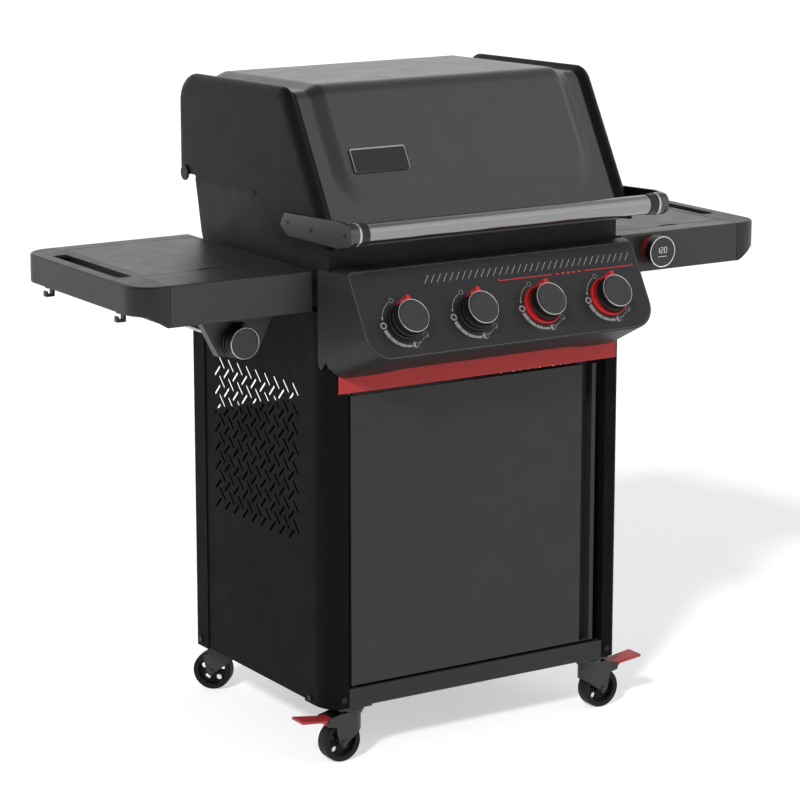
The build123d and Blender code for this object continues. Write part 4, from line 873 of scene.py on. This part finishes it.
def hoop(angle, radius, width, place):
    """Printed circle line centred on the dial."""
    x, y = on_dial(angle)
    outline = arc_band(radius - width / 2, radius + width / 2, 0, 359.9, 24)
    return printed(outline, place @ Matrix.Translation((x, y, 0)))


def part_disc(angle, radius, start, end, place, steps=12):
    """Printed slice of a disc centred on the dial, angles in degrees."""
    x, y = on_dial(angle)
    angles = [radians(start + (end - start) * k / steps) for k in range(steps + 1)]
    arc = [Vector((x + radius * cos(a), y + radius * sin(a))) for a in angles]
    return printed(arc + [Vector((x, y))], place)


def scale_bars(spans, halves, steps, place):
    """Arc bars over angle spans, each thinner than the one before."""
    first, thinner = halves
    bars = []
    for k, (start, end) in enumerate(spans):
        half = first - thinner * k
        bars.append(printed(arc_band(DIAL_R - half, DIAL_R + half, start, end, steps), place))
    return bars


def dial_marks(place):
    """Flame scale round one knob."""
    line = arc_band(DIAL_R - ARROW_LINE_HALF, DIAL_R + ARROW_LINE_HALF, *ARROW_ARC)
    outside = on_dial(ARROW_FOOT, DIAL_R + ARROW_HALF)
    inside = on_dial(ARROW_FOOT, DIAL_R - ARROW_HALF)
    head = [Vector(point) for point in (on_dial(ARROW_TIP), outside, inside)]
    parts = [hoop(*SPARK_HOOP, place), printed(line, place), printed(head, place)]
    parts.append(hoop(*HIGH_HOOP, place))
    parts += scale_bars(LONG_SCALE, LONG_HALVES, 6, place)
    parts.append(hoop(*MIDDLE_HOOP, place))
    parts.append(part_disc(*MIDDLE_HOOP[:2], *MIDDLE_FILL, place))
    parts += scale_bars(SHORT_SCALE, SHORT_HALVES, 4, place)
    parts.append(hoop(*LOW_HOOP, place))
    parts.append(part_disc(*LOW_HOOP[:2], *LOW_FILL, place))
    return parts


def dial_drop(place):
    """Dark drop inside the dial's left ring."""
    x, y = on_dial(HIGH_HOOP[0])
    outline = [Vector((x + DROP_SIZE * right, y + DROP_SIZE * up)) for right, up in DROP_OUTLINE]
    return printed(outline, place, MARK_HEIGHT * 2)


def panel_rim_highlight(place):
    """Thin lighter line just inside the outline of the panel's front: a painted highlight along its edge,
    not print.
    """
    rows = []
    for inset in (RIM_INSET, RIM_INSET + RIM_WIDTH):
        half, top, low = FASCIA_HALF_X - inset, FASCIA_TOP - inset, FASCIA_BOTTOM + inset
        corners = [(-half, top), (-half, low), (half, low), (half, top)]
        rows.append(rounded(corners, [r - inset for r in FASCIA_CORNERS]))
    outer, inner = rows
    parts = []
    for k in range(len(outer)):
        following = (k + 1) % len(outer)
        quad = [outer[k], outer[following], inner[following], inner[k]]
        parts.append(printed(quad, place, MARK_HEIGHT * 2))
    return parts


def hatch(place):
    """Row of slanting strokes along the top of the panel."""
    strokes = []
    for k in range(HATCH_COUNT):
        x = HATCH_LEFT_X + (HATCH_RIGHT_X - HATCH_LEFT_X) * k / (HATCH_COUNT - 1)
        low = (x - HATCH_SLANT, HATCH_UP - HATCH_HALF)
        high = (x + HATCH_SLANT, HATCH_UP + HATCH_HALF)
        strokes.append(printed(strip(low, high, HATCH_WIDTH), place))
    return strokes


def bracket_line(place):
    """Hooked line over the knobs, with a dashed stretch."""
    gap_start, gap_end = BRACKET_GAP
    lines = [
        ((BRACKET_LEFT_X, BRACKET_UP), (gap_start, BRACKET_UP)),
        ((gap_end, BRACKET_UP), (BRACKET_RIGHT_X, BRACKET_UP)),
    ]
    low, high = (BRACKET_UP + reach for reach in BRACKET_HOOK)
    lines += [((x, low), (x, high)) for x in (BRACKET_LEFT_X, BRACKET_RIGHT_X)]
    marks = [printed(strip(start, end, BRACKET_WIDTH), place) for start, end in lines]
    for k in range(DASH_COUNT):
        x = gap_start + (gap_end - gap_start) * (k + 1) / (DASH_COUNT + 1)
        dash = strip((x - DASH_HALF, BRACKET_UP), (x + DASH_HALF, BRACKET_UP), DASH_WIDTH)
        marks.append(printed(dash, place))
    return marks


def panel_marks():
    """Painted rim highlight, hatch, bracket line and dials on the control panel."""
    places = [knob_plane(JOINTS[f"burner_{k}_turn"]) for k in range(1, 5)]
    centre = places[0].copy()
    centre.translation.x = 0.0
    grey = hatch(centre)
    for place in places:
        grey += dial_marks(place)
    # the lighter rim line is a painted highlight along the edge of the panel's front
    make_piece("panel_rim_highlight", joined(panel_rim_highlight(centre)), "rim_highlight_paint", "cart")
    make_piece("panel_print_grey", joined(grey), "print_grey", "cart")
    make_piece("panel_print_red", joined(bracket_line(centre)), "print_red", "cart")
    drops = [dial_drop(place) for place in places]
    make_piece("panel_print_dark", joined(drops), "panel", "cart")


# ---------------------------------------------------------------- studio
def camera():
    """Camera at the photographed angle."""
    data = bpy.data.cameras.new("camera")
    data.lens = CAMERA_LENS_MM
    data.sensor_width = CAMERA_SENSOR_MM
    data.clip_end = CAMERA_FAR
    eye = bpy.data.objects.new("camera", data)
    eye.location = spot(*CAMERA_PLACE)
    eye.rotation_euler = (pi / 2 - CAMERA_ELEVATION, 0, CAMERA_AZIMUTH)
    bpy.context.scene.collection.objects.link(eye)
    bpy.context.scene.camera = eye


def paper_floor():
    """Broad pale floor that glows a little, so that shadows on it stay light."""
    bm = bmesh.new()
    bmesh.ops.create_grid(bm, x_segments=8, y_segments=8, size=FLOOR_HALF)
    mesh = bpy.data.meshes.new("floor")
    bm.to_mesh(mesh)
    bm.free()
    floor = bpy.data.objects.new("floor", mesh)
    bpy.context.scene.collection.objects.link(floor)
    material, tree, shader, vector = node_material("floor_paper")
    shade = mixed_colour(tree, noise(tree, vector, 0.7), [FLOOR_GREY] * 3, 0.004)
    tree.links.new(shade, shader.inputs["Base Color"])
    shader.inputs["Roughness"].default_value = 0.9
    shader.inputs["Specular IOR Level"].default_value = 0.0
    shader.inputs["Emission Color"].default_value = (1, 1, 1, 1)
    shader.inputs["Emission Strength"].default_value = FLOOR_GLOW
    mesh.materials.append(material)


def grey_ramp(tree, value, stops):
    """Grey level looked up from (place, level) stops."""
    ramp = tree.nodes.new("ShaderNodeValToRGB")
    elements = ramp.color_ramp.elements
    while len(elements) < len(stops):
        elements.new(0.5)
    for element, (place, level) in zip(elements, stops):
        element.position = place
        element.color = (level, level, level, 1)
    tree.links.new(value, ramp.inputs["Fac"])
    return ramp.outputs["Color"]


def blended(tree, mode, share, below, above):
    """Two colours combined in a blend mode."""
    mix = tree.nodes.new("ShaderNodeMix")
    mix.data_type = "RGBA"
    mix.blend_type = mode
    for value, name in ((share, "Factor"), (below, "A"), (above, "B")):
        if isinstance(value, float):
            mix.inputs[name].default_value = value
        else:
            tree.links.new(value, mix.inputs[name])
    return mix.outputs["Result"]


def sky():
    """Bright backdrop behind the object, a dimmer front that darkens to the left, dark overhead."""
    world = bpy.data.worlds.new("studio")
    world.use_nodes = True
    tree = world.node_tree
    background = tree.nodes["Background"]
    coordinates = tree.nodes.new("ShaderNodeTexCoord")
    split = tree.nodes.new("ShaderNodeSeparateXYZ")
    tree.links.new(coordinates.outputs["Generated"], split.inputs["Vector"])
    up = split.outputs["Z"]
    sides = []
    for axis, (low, high) in (("X", LEFT_FADE), ("Y", BACKDROP_FADE)):
        fade = tree.nodes.new("ShaderNodeMapRange")
        fade.inputs["From Min"].default_value = low
        fade.inputs["From Max"].default_value = high
        tree.links.new(split.outputs[axis], fade.inputs["Value"])
        sides.append(fade.outputs["Result"])
    across = grey_ramp(tree, sides[0], ((0.0, LEFT_SHARE), (1.0, 1.0)))
    front = blended(tree, "MULTIPLY", 1.0, grey_ramp(tree, up, FRONT_STOPS), across)
    whole = blended(tree, "MIX", sides[1], front, grey_ramp(tree, up, BACK_STOPS))
    tree.links.new(whole, background.inputs["Color"])
    background.inputs["Strength"].default_value = SKY_STRENGTH
    bpy.context.scene.world = world


def studio():
    """Pale floor, sky and a soft key light from the front left."""
    paper_floor()
    sky()
    sun = bpy.data.lights.new("key", "SUN")
    sun.energy = KEY_STRENGTH
    sun.angle = KEY_WIDTH
    key = bpy.data.objects.new("key", sun)
    key.rotation_euler = Vector(KEY_DIRECTION).to_track_quat("-Z", "Y").to_euler()
    key.visible_glossy = False
    bpy.context.scene.collection.objects.link(key)
    bpy.context.scene.view_settings.view_transform = "Standard"
    bpy.context.scene.view_settings.look = "None"


# ---------------------------------------------------------------- scene
def main():
    """Dresses the CAD pieces, then adds the detailed ones, the camera and the studio."""
    for node, piece in NODES.items():
        dress(node, piece)
    hood_skin()
    end_cap("left", -1)
    end_cap("right", 1)
    knobs()
    badge_face()
    handle_ends()
    bracket_screws()
    controller_trim()
    panel_marks()
    camera()
    studio()


main()
